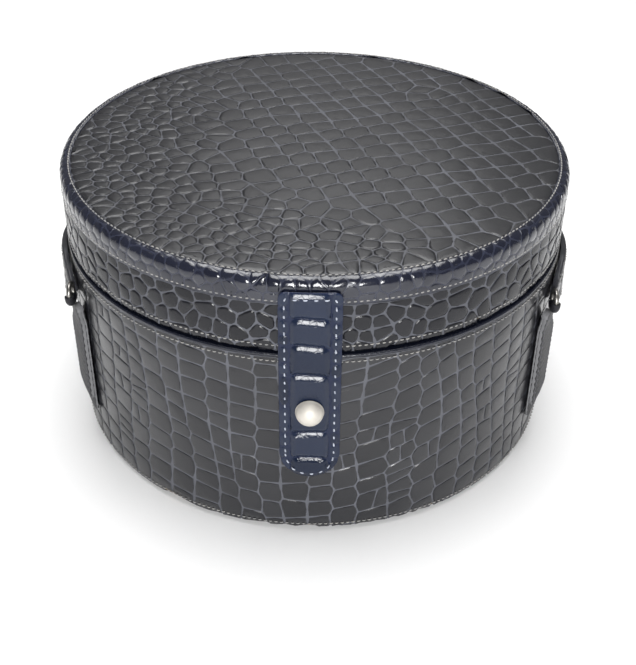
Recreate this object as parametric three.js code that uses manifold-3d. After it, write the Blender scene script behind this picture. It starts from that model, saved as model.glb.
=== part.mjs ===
// Round leather presentation box: hinged lid, front snap strap, carry handle.
// Millimetres, +Z up, front of the box towards -Y, origin at the centre of the bottom.
import * as THREE from 'three';
import { mergeVertices } from 'three/addons/utils/BufferGeometryUtils.js';
import Module from 'manifold-3d';

const wasm = await Module();
wasm.setup();

// Overall sizes
const OUTER_R = 127.5;
const TOTAL_H = 145;
const ROUND_STEPS = 60;
const FINE_STEPS = 240;
const GAP = 0.3;

// Wall build-up, from the outside in
const LEATHER_T = 1.3;
const BOARD_T = 2.4;
const LINING_T = 1.0;
const SKIN_IN = OUTER_R - LEATHER_T;
const BOARD_OUT = SKIN_IN - GAP;
const BOARD_IN = BOARD_OUT - BOARD_T;
const LINING_OUT = BOARD_IN - GAP;
const LINING_IN = LINING_OUT - LINING_T;
const FACING = OUTER_R + GAP;

// Base heights, from the bottom
const COVER_R = 117.6;
const COVER_T = 1.5;
const FLANGE_Z = 0.5;
const FLOOR_Z = FLANGE_Z + LEATHER_T + GAP;
const FLOOR_T = 2.5;
const PAD_Z = FLOOR_Z + FLOOR_T + GAP;
const PAD_T = 3;
const BASE_SKIN_TOP = 104.2;
const BASE_TOP = 106.3;

// Lid heights, from the lid's lower edge
const LID_Z = 107.2;
const LID_H = TOTAL_H - LID_Z;
const BINDING_LOW = 25.4;
const BINDING_T = 1.4;
const EDGE_ROUND = 4.6;
const PANEL_R = 122;
const PANEL_TOP = LID_H - 0.4;
const PANEL_T = 1.3;
const TOP_BOARD_LOW = 30.6;
const TOP_BOARD_HIGH = TOP_BOARD_LOW + 2.5;

// Rear leather hinge
const HINGE_HALF_ANGLE = 11.3;
const HINGE_T = 1.5;
const HINGE_LOW = 86;
const HINGE_HIGH = 128;
const HINGE_LINE = 106.75;

// Front closure strap and its snap
const STRAP_W = 27.6;
const STRAP_T = 3.2;
const STRAP_OUT = FACING + STRAP_T;
const STRAP_TOP = 140.2;
const STRAP_CORNER = 3.5;
const STRAP_FOLD = 109.6;
const STRAP_TIP = 37.3;
const SNAP_Z = 78.4;
const SNAP_CAP_R = 6.5;
const SNAP_CAP_H = 6.8;
const SNAP_RIM_H = 0.8;

// Carry handle: rings, lugs and strap
const RING_X = 118.4;
const RING_Y = -60;
const RING_Z = 92.5;
const RING_R = 4.5;
const WIRE_R = 1.2;
const LOOP_R = 2.2;
const LOOP_HALF_ANGLE = 32;
const LUG_NEAR = 60;
const LUG_FAR = 71.4;
const LUG_MID = (LUG_NEAR + LUG_FAR) / 2;
const LUG_LAYER = 1.8;
const LUG_END_IN = 21;
const LUG_END_OUT = 29;
const HANDLE_W = 25.5;
const HANDLE_T = 3.4;
const HANDLE_OFF = 1.2;
const HANDLE_DROP = 8;
const HANDLE_TAPER = 24;

const AXIS_X = new THREE.Vector3(1, 0, 0);
const AXIS_Y = new THREE.Vector3(0, 1, 0);
const AXIS_Z = new THREE.Vector3(0, 0, 1);
const rad = THREE.MathUtils.degToRad;
const deg = THREE.MathUtils.radToDeg;

/** Six times the volume inside a triangle list; negative when it faces in. */
function signedVolume(points, triangles) {
  const corner = (k) => new THREE.Vector3().fromArray(points, triangles[k] * 3);
  let total = 0;
  for (let i = 0; i < triangles.length; i += 3) {
    total += corner(i).dot(corner(i + 1).cross(corner(i + 2)));
  }
  return total;
}

/** Turns a closed geometry into a solid that faces out, ready to be joined or cut. */
function solid(geometry) {
  const bare = new THREE.BufferGeometry();
  bare.setAttribute('position', geometry.getAttribute('position'));
  bare.setIndex(geometry.getIndex());
  const merged = mergeVertices(bare, 1e-4);
  const vertProperties = Float32Array.from(merged.getAttribute('position').array);
  const index = Array.from(merged.getIndex().array);
  const kept = [];
  for (let i = 0; i < index.length; i += 3) {
    const [a, b, c] = index.slice(i, i + 3);
    if (a !== b && b !== c && c !== a) {
      kept.push(a, b, c);
    }
  }
  if (signedVolume(vertProperties, kept) < 0) {
    kept.reverse();
  }
  const triVerts = Uint32Array.from(kept);
  return new wasm.Manifold(new wasm.Mesh({ numProp: 3, vertProperties, triVerts }));
}

/** A full turn of a closed profile of [radius, height] points about the Z axis. */
function turned(profile, steps = ROUND_STEPS) {
  const points = profile.map(([r, z]) => new THREE.Vector2(r, z));
  if (profile[0][0] > 0) {
    points.push(points[0].clone());
  }
  const geometry = new THREE.LatheGeometry(points, steps);
  geometry.rotateX(Math.PI / 2);
  return solid(geometry);
}

/** A plain disc between two heights. */
function disc(radius, low, high, steps = ROUND_STEPS) {
  return turned([[0, low], [radius, low], [radius, high], [0, high]], steps);
}

/** A plain tube between two radii and two heights. */
function tube(inner, outer, low, high, steps = ROUND_STEPS) {
  return turned([[inner, low], [outer, low], [outer, high], [inner, high]], steps);
}

/** A prism: an outline drawn on the axes across and up, grown along their cross product. */
function prism(outline, across, up, from, to) {
  const shape = new THREE.Shape(outline.map(([u, v]) => new THREE.Vector2(u, v)));
  const geometry = new THREE.ExtrudeGeometry(shape, { depth: to - from, bevelEnabled: false });
  geometry.translate(0, 0, from);
  const along = new THREE.Vector3().crossVectors(across, up);
  geometry.applyMatrix4(new THREE.Matrix4().makeBasis(across, up, along));
  return solid(geometry);
}

/** The part of a turned profile between two azimuths, counted from the front towards +X. */
function sector(profile, from, to) {
  const ray = (azimuth) => [200 * Math.sin(rad(azimuth)), -200 * Math.cos(rad(azimuth))];
  const wedge = prism([[0, 0], ray(from), ray(to)], AXIS_X, AXIS_Y, -10, 200);
  return turned(profile, FINE_STEPS).intersect(wedge);
}

/** Points of an arc of [across, up] about a centre, by degrees from across to up. */
function arc(centre, radius, from, to, steps) {
  const points = [];
  for (let k = 0; k <= steps; k += 1) {
    const angle = rad(from + ((to - from) * k) / steps);
    points.push([centre[0] + radius * Math.cos(angle), centre[1] + radius * Math.sin(angle)]);
  }
  return points;
}

/** The round bar of a ring about an axis along X, with a given bar radius. */
function ringBar(radius, x = 0, y = 0, z = 0) {
  const geometry = new THREE.TorusGeometry(RING_R, radius, 8, 28);
  geometry.rotateY(Math.PI / 2);
  geometry.translate(x, y, z);
  return solid(geometry);
}

/** A short leather sleeve on a ring, facing by degrees from the back of the box upwards. */
function ringLoop(facing, x, y, z) {
  const sides = arc([y, z], 40, facing - LOOP_HALF_ANGLE, facing + LOOP_HALF_ANGLE, 1);
  const wedge = prism([[y, z], ...sides], AXIS_Y, AXIS_Z, x - 10, x + 10);
  return ringBar(LOOP_R, x, y, z).intersect(wedge);
}

const LOOKS = {
  embossed: { color: 0x14161f, roughness: 0.25, metalness: 0 },
  smooth: { color: 0x10142c, roughness: 0.2, metalness: 0 },
  board: { color: 0x8c7c66, roughness: 0.9, metalness: 0 },
  lining: { color: 0x1b1b20, roughness: 0.95, metalness: 0 },
  foam: { color: 0xcfcabf, roughness: 0.95, metalness: 0 },
  nickel: { color: 0xcfc8b8, roughness: 0.3, metalness: 1 },
};

/** Adds one named piece to a group. */
function piece(group, name, shape, look) {
  const mesh = shape.getMesh();
  const geometry = new THREE.BufferGeometry();
  geometry.setAttribute('position', new THREE.Float32BufferAttribute(mesh.vertProperties, 3));
  geometry.setIndex(Array.from(mesh.triVerts));
  geometry.computeVertexNormals();
  const part = new THREE.Mesh(geometry, new THREE.MeshStandardMaterial(LOOKS[look]));
  part.name = name;
  group.add(part);
}

const box = new THREE.Group();
const base = new THREE.Group();
const lid = new THREE.Group();
const snap = new THREE.Group();
const rightPivot = new THREE.Group();
const leftPivot = new THREE.Group();
const handlePivot = new THREE.Group();
lid.position.z = LID_Z;
snap.position.z = SNAP_Z;
snap.rotation.x = Math.PI / 2;
rightPivot.position.set(RING_X, RING_Y, RING_Z);
leftPivot.position.set(-RING_X, RING_Y, RING_Z);
handlePivot.position.set(0, RING_Y, RING_Z);
handlePivot.rotation.x = rad(-HANDLE_DROP);
box.add(base, lid, snap, rightPivot, leftPivot, handlePivot);

// Base: cover, boards, leather, rim, lining and pad
const snapCut = (radius, back, front) => prism(
  arc([0, SNAP_Z], radius, 0, 345, 23),
  AXIS_X,
  AXIS_Z,
  back,
  front,
);
const rivetHole = snapCut(2.2, 100, 140);
const rivetSeat = snapCut(4.4, 100, BOARD_IN + 1);
const studSeat = snapCut(4.8, OUTER_R - 0.7, 140);
const wallTube = tube(BOARD_IN, BOARD_OUT, FLOOR_Z, BASE_SKIN_TOP);
const baseSkin = turned([
  [COVER_R + GAP, FLANGE_Z],
  [OUTER_R - 1.2, FLANGE_Z],
  [OUTER_R, FLANGE_Z + 1.2],
  [OUTER_R, BASE_SKIN_TOP],
  [SKIN_IN, BASE_SKIN_TOP],
  [SKIN_IN, FLANGE_Z + LEATHER_T],
  [COVER_R + GAP, FLANGE_Z + LEATHER_T],
]);
const rimBinding = turned([
  [LINING_IN, BASE_SKIN_TOP + GAP],
  [OUTER_R, BASE_SKIN_TOP + GAP],
  [OUTER_R, BASE_TOP - 0.9],
  [OUTER_R - 0.9, BASE_TOP],
  [LINING_IN + 0.9, BASE_TOP],
  [LINING_IN, BASE_TOP - 0.9],
]);
piece(base, 'base_bottom_cover', disc(COVER_R, 0, COVER_T), 'smooth');
piece(base, 'base_floor_board', disc(LINING_OUT, FLOOR_Z, FLOOR_Z + FLOOR_T), 'board');
piece(base, 'base_wall_board', wallTube.subtract(rivetHole).subtract(rivetSeat), 'board');
piece(base, 'base_side_leather', baseSkin.subtract(studSeat).subtract(rivetHole), 'embossed');
piece(base, 'base_rim_binding', rimBinding, 'smooth');
piece(base, 'base_side_lining', tube(LINING_IN, LINING_OUT, PAD_Z, BASE_SKIN_TOP), 'lining');
piece(base, 'base_floor_pad', disc(LINING_IN - GAP, PAD_Z, PAD_Z + PAD_T), 'lining');

// Lid: boards, leather, binding, padding and linings
const lidSkin = turned([
  [BOARD_IN, 0],
  [OUTER_R - 0.8, 0],
  [OUTER_R, 0.8],
  [OUTER_R, BINDING_LOW - GAP],
  [SKIN_IN, BINDING_LOW - GAP],
  [SKIN_IN, LEATHER_T],
  [BOARD_IN, LEATHER_T],
]);
const edgeCentre = [OUTER_R - EDGE_ROUND, LID_H - EDGE_ROUND];
const edgeBinding = turned([
  [OUTER_R - BINDING_T, BINDING_LOW],
  [OUTER_R, BINDING_LOW],
  ...arc(edgeCentre, EDGE_ROUND, 0, 90, 5),
  [PANEL_R + GAP, LID_H - 0.3],
  [PANEL_R + GAP, LID_H - BINDING_T],
  ...arc(edgeCentre, EDGE_ROUND - BINDING_T, 90, 0, 3),
]);
const liningTop = TOP_BOARD_LOW - GAP;
piece(lid, 'lid_wall_board', tube(BOARD_IN, BOARD_OUT, LEATHER_T + GAP, TOP_BOARD_HIGH), 'board');
piece(lid, 'lid_top_board', disc(LINING_OUT, TOP_BOARD_LOW, TOP_BOARD_HIGH), 'board');
piece(lid, 'lid_top_padding', disc(PANEL_R, TOP_BOARD_HIGH + GAP, PANEL_TOP - PANEL_T - GAP), 'foam');
piece(lid, 'lid_top_leather', disc(PANEL_R, PANEL_TOP - PANEL_T, PANEL_TOP), 'embossed');
piece(lid, 'lid_side_leather', lidSkin, 'embossed');
piece(lid, 'lid_edge_binding', edgeBinding, 'smooth');
piece(lid, 'lid_side_lining', tube(LINING_IN, LINING_OUT, 0.4, liningTop), 'lining');
piece(lid, 'lid_top_lining', disc(LINING_IN - GAP, liningTop - LINING_T, liningTop), 'lining');

// Rear hinge: one leather strip, in two halves that meet at the hinge line
const hingeStrip = (low, high) => sector(
  [[FACING, low], [FACING + HINGE_T, low], [FACING + HINGE_T, high], [FACING, high]],
  180 - HINGE_HALF_ANGLE,
  180 + HINGE_HALF_ANGLE,
);
piece(base, 'hinge_leather_base', hingeStrip(HINGE_LOW, HINGE_LINE - GAP), 'smooth');
piece(lid, 'hinge_leather_lid', hingeStrip(HINGE_LINE + GAP - LID_Z, HINGE_HIGH - LID_Z), 'smooth');

// Front closure strap: sewn to the lid above the fold, free below it
const halfStrap = STRAP_W / 2;
const strapAngle = deg(halfStrap / OUTER_R) + 1;
const strapBand = sector([[FACING, 20], [STRAP_OUT, 20], [STRAP_OUT, 150], [FACING, 150]], -strapAngle, strapAngle);
const strapShape = (outline) => strapBand.intersect(prism(outline, AXIS_X, AXIS_Z, 100, 150));
const flap = strapShape([
  [halfStrap, STRAP_FOLD - GAP],
  [-halfStrap, STRAP_FOLD - GAP],
  ...arc([0, STRAP_TIP + halfStrap], halfStrap, 180, 360, 14),
]);
const anchor = strapShape([
  [-halfStrap, STRAP_FOLD + GAP],
  [halfStrap, STRAP_FOLD + GAP],
  ...arc([halfStrap - STRAP_CORNER, STRAP_TOP - STRAP_CORNER], STRAP_CORNER, 0, 90, 3),
  ...arc([STRAP_CORNER - halfStrap, STRAP_TOP - STRAP_CORNER], STRAP_CORNER, 90, 180, 3),
]);
const postHole = snapCut(2.2, 100, 150);
const socketSeat = snapCut(5.8, 100, FACING + 1.8);
piece(lid, 'closure_strap_anchor', anchor.translate([0, 0, -LID_Z]), 'smooth');
piece(base, 'closure_strap_flap', flap.subtract(postHole).subtract(socketSeat), 'smooth');

// Snap, drawn about its own axis with heights counted from the middle of the box
const capFoot = STRAP_OUT + GAP;
const domeRise = SNAP_CAP_H - SNAP_RIM_H;
const domeR = (SNAP_CAP_R ** 2 + domeRise ** 2) / (2 * domeRise);
const domeAngle = deg(Math.asin(SNAP_CAP_R / domeR));
const domeCentre = [0, capFoot + SNAP_CAP_H - domeR];
const capShape = turned([
  [0, FACING + 1.2],
  [1.8, FACING + 1.2],
  [1.8, capFoot],
  [SNAP_CAP_R, capFoot],
  ...arc(domeCentre, domeR, 90 - domeAngle, 90 - domeAngle / 4, 3),
  [0, capFoot + SNAP_CAP_H],
], 24);
const studBack = OUTER_R - 0.5;
const studShape = turned([
  [0, studBack],
  [4.4, studBack],
  [4.4, OUTER_R + 0.05],
  [2.4, OUTER_R + 0.05],
  [2.4, FACING + 0.9],
  [0, FACING + 0.9],
], 24);
const rivetShape = turned([
  [0, BOARD_IN + 0.1],
  [4, BOARD_IN + 0.1],
  [4, BOARD_IN + 0.7],
  [1.8, BOARD_IN + 0.7],
  [1.8, studBack - GAP],
  [0, studBack - GAP],
], 24);
piece(snap, 'snap_cap', capShape, 'nickel');
piece(snap, 'snap_socket', tube(2.9, 5.4, FACING + 0.15, FACING + 1.5, 24), 'nickel');
piece(snap, 'snap_stud', studShape, 'nickel');
piece(snap, 'snap_rivet', rivetShape, 'nickel');

// Lugs: doubled leather tabs on the base, each folded through a ring
const lugOut = FACING + 2 * LUG_LAYER;
const lugTop = RING_Z - RING_R - 1.2;
const lugProfile = [
  [FACING, LUG_END_IN],
  [FACING + LUG_LAYER, LUG_END_IN],
  [FACING + LUG_LAYER, LUG_END_OUT],
  [lugOut, LUG_END_OUT],
  [lugOut, 76],
  [lugOut + 1.2, lugTop - 3],
  [lugOut + 1.2, lugTop],
  [FACING, lugTop],
];
const lugOutline = [[-20, 10], [20, 10], [20, 58], [-2.5, 83], [-2.5, 100], [-20, 100]];

/** One lug, on the right for side 1 and on the left for side -1. */
function lug(side) {
  const azimuths = [side * LUG_NEAR, side * LUG_FAR].sort((a, b) => a - b);
  const middle = rad(side * LUG_MID);
  const across = new THREE.Vector3(Math.cos(middle), Math.sin(middle), 0);
  const outline = lugOutline.map(([u, v]) => [side * u, v]);
  const tab = sector(lugProfile, ...azimuths).intersect(prism(outline, across, AXIS_Z, 100, 150));
  const centre = [side * RING_X, RING_Y, RING_Z];
  return tab.add(ringLoop(-90, ...centre)).subtract(ringBar(WIRE_R + GAP, ...centre));
}
piece(base, 'right_lug', lug(1), 'smooth');
piece(base, 'left_lug', lug(-1), 'smooth');
piece(rightPivot, 'right_ring', ringBar(WIRE_R), 'nickel');
piece(leftPivot, 'left_ring', ringBar(WIRE_R), 'nickel');

/** The handle's inner face in plan, [x, y] from the right ring to the back, seen from its pivot. */
function handleInside() {
  const points = [];
  for (let y = RING_R + 0.5; y < -RING_Y; y += 5) {
    points.push([Math.sqrt(OUTER_R ** 2 - (y + RING_Y) ** 2) + HANDLE_OFF, y]);
  }
  for (let k = 0; k <= 18; k += 1) {
    const angle = rad(5 * k);
    const reach = Math.hypot(OUTER_R * Math.sin(angle) - RING_Y, TOTAL_H - RING_Z);
    points.push([(OUTER_R + HANDLE_OFF) * Math.cos(angle), reach + HANDLE_OFF]);
  }
  return points;
}

/** The points of a line in plan, moved to its right by a distance. */
function offset(points, distance) {
  return points.map(([x, y], i) => {
    const before = points[Math.max(i - 1, 0)];
    const after = points[Math.min(i + 1, points.length - 1)];
    const run = new THREE.Vector2(after[0] - before[0], after[1] - before[1]).normalize();
    return [x + run.y * distance, y - run.x * distance];
  });
}

// Handle: one strap round the back of the box, tapered to a sleeve on each ring
const rightInside = handleInside();
const leftInside = rightInside.slice(0, -1).reverse().map(([x, y]) => [-x, y]);
const handleLine = [...rightInside, ...leftInside];
const handlePlan = [...handleLine, ...offset(handleLine, HANDLE_T).reverse()];
const handleSide = [
  [RING_R, -3],
  [RING_R + HANDLE_TAPER, -HANDLE_W / 2],
  [250, -HANDLE_W / 2],
  [250, HANDLE_W / 2],
  [RING_R + HANDLE_TAPER, HANDLE_W / 2],
  [RING_R, 3],
];
const handleShape = prism(handlePlan, AXIS_X, AXIS_Y, -HANDLE_W, HANDLE_W)
  .intersect(prism(handleSide, AXIS_Y, AXIS_Z, -200, 200))
  .add(ringLoop(0, RING_X, 0, 0))
  .add(ringLoop(0, -RING_X, 0, 0))
  .subtract(ringBar(WIRE_R + GAP, RING_X))
  .subtract(ringBar(WIRE_R + GAP, -RING_X));
piece(handlePivot, 'handle_strap', handleShape, 'smooth');

export default box;
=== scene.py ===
"""Looks of the round leather presentation box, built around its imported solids.

The row frame is in metres, +Z up, with the front of the box towards -Y and the
origin at the centre of the bottom. Pieces are shaped in millimetres and brought
to metres when they are put in place.
"""

import logging
import math
import random
from contextlib import contextmanager
from dataclasses import dataclass, field
from enum import Enum
from typing import Callable, Iterator, Sequence

import bmesh
import bpy
import numpy as np
from mathutils import Matrix, Vector

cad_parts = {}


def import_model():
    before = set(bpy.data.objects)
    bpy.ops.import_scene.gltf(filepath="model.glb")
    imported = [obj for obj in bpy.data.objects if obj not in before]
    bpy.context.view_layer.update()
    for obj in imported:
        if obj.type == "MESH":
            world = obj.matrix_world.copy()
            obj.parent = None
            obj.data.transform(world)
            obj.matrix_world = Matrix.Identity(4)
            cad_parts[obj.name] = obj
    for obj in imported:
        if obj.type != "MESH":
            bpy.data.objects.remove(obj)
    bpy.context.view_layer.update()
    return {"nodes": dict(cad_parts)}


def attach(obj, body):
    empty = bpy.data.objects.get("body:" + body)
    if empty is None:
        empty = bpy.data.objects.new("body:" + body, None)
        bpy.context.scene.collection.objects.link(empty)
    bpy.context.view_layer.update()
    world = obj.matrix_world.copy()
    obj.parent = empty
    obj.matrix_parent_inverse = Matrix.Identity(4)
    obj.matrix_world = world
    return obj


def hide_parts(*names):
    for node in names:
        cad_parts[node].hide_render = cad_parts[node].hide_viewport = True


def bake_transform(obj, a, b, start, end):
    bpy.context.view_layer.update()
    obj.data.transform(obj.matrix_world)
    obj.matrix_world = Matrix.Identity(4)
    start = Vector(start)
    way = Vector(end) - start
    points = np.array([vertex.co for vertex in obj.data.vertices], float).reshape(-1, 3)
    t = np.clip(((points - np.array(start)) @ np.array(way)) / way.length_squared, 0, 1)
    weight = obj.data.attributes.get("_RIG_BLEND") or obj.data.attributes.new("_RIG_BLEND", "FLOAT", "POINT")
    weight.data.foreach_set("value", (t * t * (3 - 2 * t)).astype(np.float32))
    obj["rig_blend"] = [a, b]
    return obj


LOG = logging.getLogger("presentation_box")

# Sizes in millimetres that the sub-assemblies share, and a millimetre in the row frame's metres
MM = 0.001
OUTER_R = 127.5
HEIGHT = 145.0
GIRTH = 2 * math.pi * OUTER_R
FACING = OUTER_R + 0.3
STITCH_R = OUTER_R - 0.28
LEATHER = 1.3

# Rooms in millimetres that sort the scales, from those that take no inset to those that take all
TINY, SMALL, MIDDLING, WIDEST = 0.4, 1.1, 2.2, 6.5
ROOMS = (0.0, TINY, SMALL, 1.6, MIDDLING, 2.7, 3.3, 4.0, 5.0, 99.0)

Piece = bpy.types.Object
Node = bpy.types.Node
Socket = bpy.types.NodeSocket
Point = tuple[float, float]
Place = tuple[float, float, float]
Colour = tuple[float, float, float]
Mapping = Callable[[np.ndarray], np.ndarray]
Field = Callable[[float, float], float]
Frame = tuple[Vector, Vector, Vector]


class Body(Enum):
    """The moving bodies of the box."""

    BASE = "base"
    LID = "lid"
    STRAP = "strap"
    HANDLE = "handle"


class Slot(Enum):
    """The record's material slots."""

    CROC = "croc_leather"
    SMOOTH = "smooth_leather"
    BOARD = "board"
    LINING = "lining"
    PADDING = "padding"
    NICKEL = "nickel"


class Side(Enum):
    """Left and right of the box, seen from the front."""

    LEFT = -1
    RIGHT = 1


# Modelling bench


def seeded(seed: int) -> random.Random:
    """Gives a class a field with its own source of chance."""
    return field(default_factory=lambda: random.Random(seed))


def activate(obj: Piece) -> None:
    """Makes one object the only selected and active one, in object mode.

    Args:
        obj: The object to work on.
    """
    if bpy.context.object and bpy.context.object.mode != "OBJECT":
        bpy.ops.object.mode_set(mode="OBJECT")
    bpy.ops.object.select_all(action="DESELECT")
    obj.select_set(True)
    bpy.context.view_layer.objects.active = obj


@contextmanager
def edit_mode(obj: Piece) -> Iterator[Piece]:
    """Opens an object in edit mode, with faces as what is picked and all of them picked.

    Args:
        obj: The object to edit.

    Yields:
        The same object.
    """
    activate(obj)
    bpy.ops.object.mode_set(mode="EDIT")
    bpy.ops.mesh.select_mode(type="FACE")
    bpy.ops.mesh.select_all(action="SELECT")
    yield obj
    bpy.ops.object.mode_set(mode="OBJECT")


def pick_faces(obj: Piece, test: Callable[[bmesh.types.BMFace], bool]) -> int:
    """Selects the faces of an edited object that pass a test.

    Args:
        obj: The object in edit mode.
        test: Says whether a face is wanted.

    Returns:
        How many faces were picked.
    """
    mesh = bmesh.from_edit_mesh(obj.data)
    wanted = [test(face) for face in mesh.faces]
    for face in mesh.faces:
        face.select_set(False)
    for face, want in zip(mesh.faces, wanted):
        if want:
            face.select_set(True)
    bmesh.update_edit_mesh(obj.data)
    return sum(wanted)


def new_object(name: str, points: Sequence, edges: Sequence, faces: Sequence) -> Piece:
    """Makes a mesh object from points, edges and faces.

    Args:
        name: The object's name.
        points: Its corners.
        edges: Its loose edges.
        faces: Its faces, as corner numbers.

    Returns:
        The new object, linked to the scene.
    """
    mesh = bpy.data.meshes.new(name)
    mesh.from_pydata(points, edges, faces)
    if mesh.validate():
        LOG.warning("%s: faulty faces were left out", name)
    mesh.update()
    obj = bpy.data.objects.new(name, mesh)
    bpy.context.scene.collection.objects.link(obj)
    return obj


def subdivide(obj: Piece, levels: int) -> None:
    """Rounds an object with an applied subdivision surface.

    Args:
        obj: The object to round.
        levels: How often it is divided.
    """
    activate(obj)
    modifier = obj.modifiers.new("rounding", "SUBSURF")
    modifier.levels = modifier.render_levels = levels
    bpy.ops.object.modifier_apply(modifier=modifier.name)


def shade(obj: Piece, degrees: float = 60.0) -> None:
    """Shades an object smooth, apart from edges sharper than an angle."""
    activate(obj)
    bpy.ops.object.shade_smooth_by_angle(angle=math.radians(degrees))


def corners_of(obj: Piece) -> np.ndarray:
    """Gives an object's corners.

    Args:
        obj: The object.

    Returns:
        An array of three columns.
    """
    flat = np.empty(len(obj.data.vertices) * 3, np.float32)
    obj.data.vertices.foreach_get("co", flat)
    return flat.reshape(-1, 3).astype(float)


def put(obj: Piece, mapping: Mapping | None = None) -> Piece:
    """Moves every corner by a mapping in millimetres, then brings the mesh to metres.

    Args:
        obj: The object shaped in millimetres.
        mapping: Where each row of corners goes; None leaves them.

    Returns:
        The same object.
    """
    places = corners_of(obj)
    if mapping is not None:
        places = mapping(places)
    obj.data.vertices.foreach_set("co", (places * MM).astype(np.float32).ravel())
    obj.data.update()
    return obj


def tidy(obj: Piece, reach: float) -> None:
    """Merges corners closer than a reach and turns the faces outwards.

    Args:
        obj: The object to tidy.
        reach: The merging distance, in the object's present unit.
    """
    with edit_mode(obj):
        bpy.ops.mesh.remove_doubles(threshold=reach)
        bpy.ops.mesh.normals_make_consistent(inside=False)


def join(pieces: Sequence[Piece], name: str) -> Piece:
    """Joins objects into one.

    Args:
        pieces: The objects; the first one stays.
        name: The joined object's name.

    Returns:
        The joined object.
    """
    activate(pieces[0])
    for piece in pieces:
        piece.select_set(True)
    bpy.ops.object.join()
    pieces[0].name = name
    pieces[0].data.name = name
    return pieces[0]


def turned(name: str, profile: Sequence[Point], steps: int = 144) -> Piece:
    """Spins a profile of (radius, height) points round the Z axis, in millimetres.

    Args:
        name: The object's name.
        profile: The outline; it is closed unless it starts on the axis.
        steps: Steps in the full turn.

    Returns:
        The turned object.
    """
    count = len(profile)
    edges = [(k, k + 1) for k in range(count - 1)]
    if profile[0][0] > 1e-6:
        edges.append((count - 1, 0))
    obj = new_object(name, [(r, 0.0, z) for r, z in profile], edges, [])
    with edit_mode(obj):
        bpy.ops.mesh.spin(steps=steps, angle=2 * math.pi, center=(0, 0, 0), axis=(0, 0, 1))
    tidy(obj, 0.002)
    shade(obj, 35)
    return obj


def arc(centre: Point, radius: float, start: float, stop: float, steps: int) -> list[Point]:
    """Gives points on an arc, by degrees from across to up, with both ends included."""
    angles = np.radians(np.linspace(start, stop, steps + 1))
    return [(centre[0] + radius * math.cos(a), centre[1] + radius * math.sin(a)) for a in angles]


# Maps of embossed scales


def cut(cell: list[Point], across: float, up: float, limit: float) -> list[Point]:
    """Keeps the part of an outline on the near side of a line.

    Args:
        cell: A convex outline.
        across: The line normal's first part.
        up: The line normal's second part.
        limit: How far along the normal the line stands.

    Returns:
        The outline that is left, which may be empty.
    """
    kept = []
    depths = [across * u + up * v - limit for u, v in cell]
    for k, (point, depth) in enumerate(zip(cell, depths)):
        before, depth_before = cell[k - 1], depths[k - 1]
        if (depth <= 0) != (depth_before <= 0):
            share = depth_before / (depth_before - depth)
            kept.append(tuple(a + share * (b - a) for a, b in zip(before, point)))
        if depth <= 0:
            kept.append(point)
    return kept


def sides_of(cell: Sequence) -> Iterator[tuple]:
    """Pairs each corner of an outline with the next one, and the last with the first."""
    return zip(cell, [*cell[1:], cell[0]])


def area_of(cell: Sequence[Point]) -> float:
    """Gives the signed area of an outline, positive when it runs anticlockwise."""
    return 0.5 * sum(a[0] * b[1] - b[0] * a[1] for a, b in sides_of(cell))


def room_in(cell: Sequence[Point]) -> float:
    """Gives about the radius of the circle that fits in an outline."""
    return 2 * abs(area_of(cell)) / sum(math.dist(a, b) for a, b in sides_of(cell))


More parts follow.
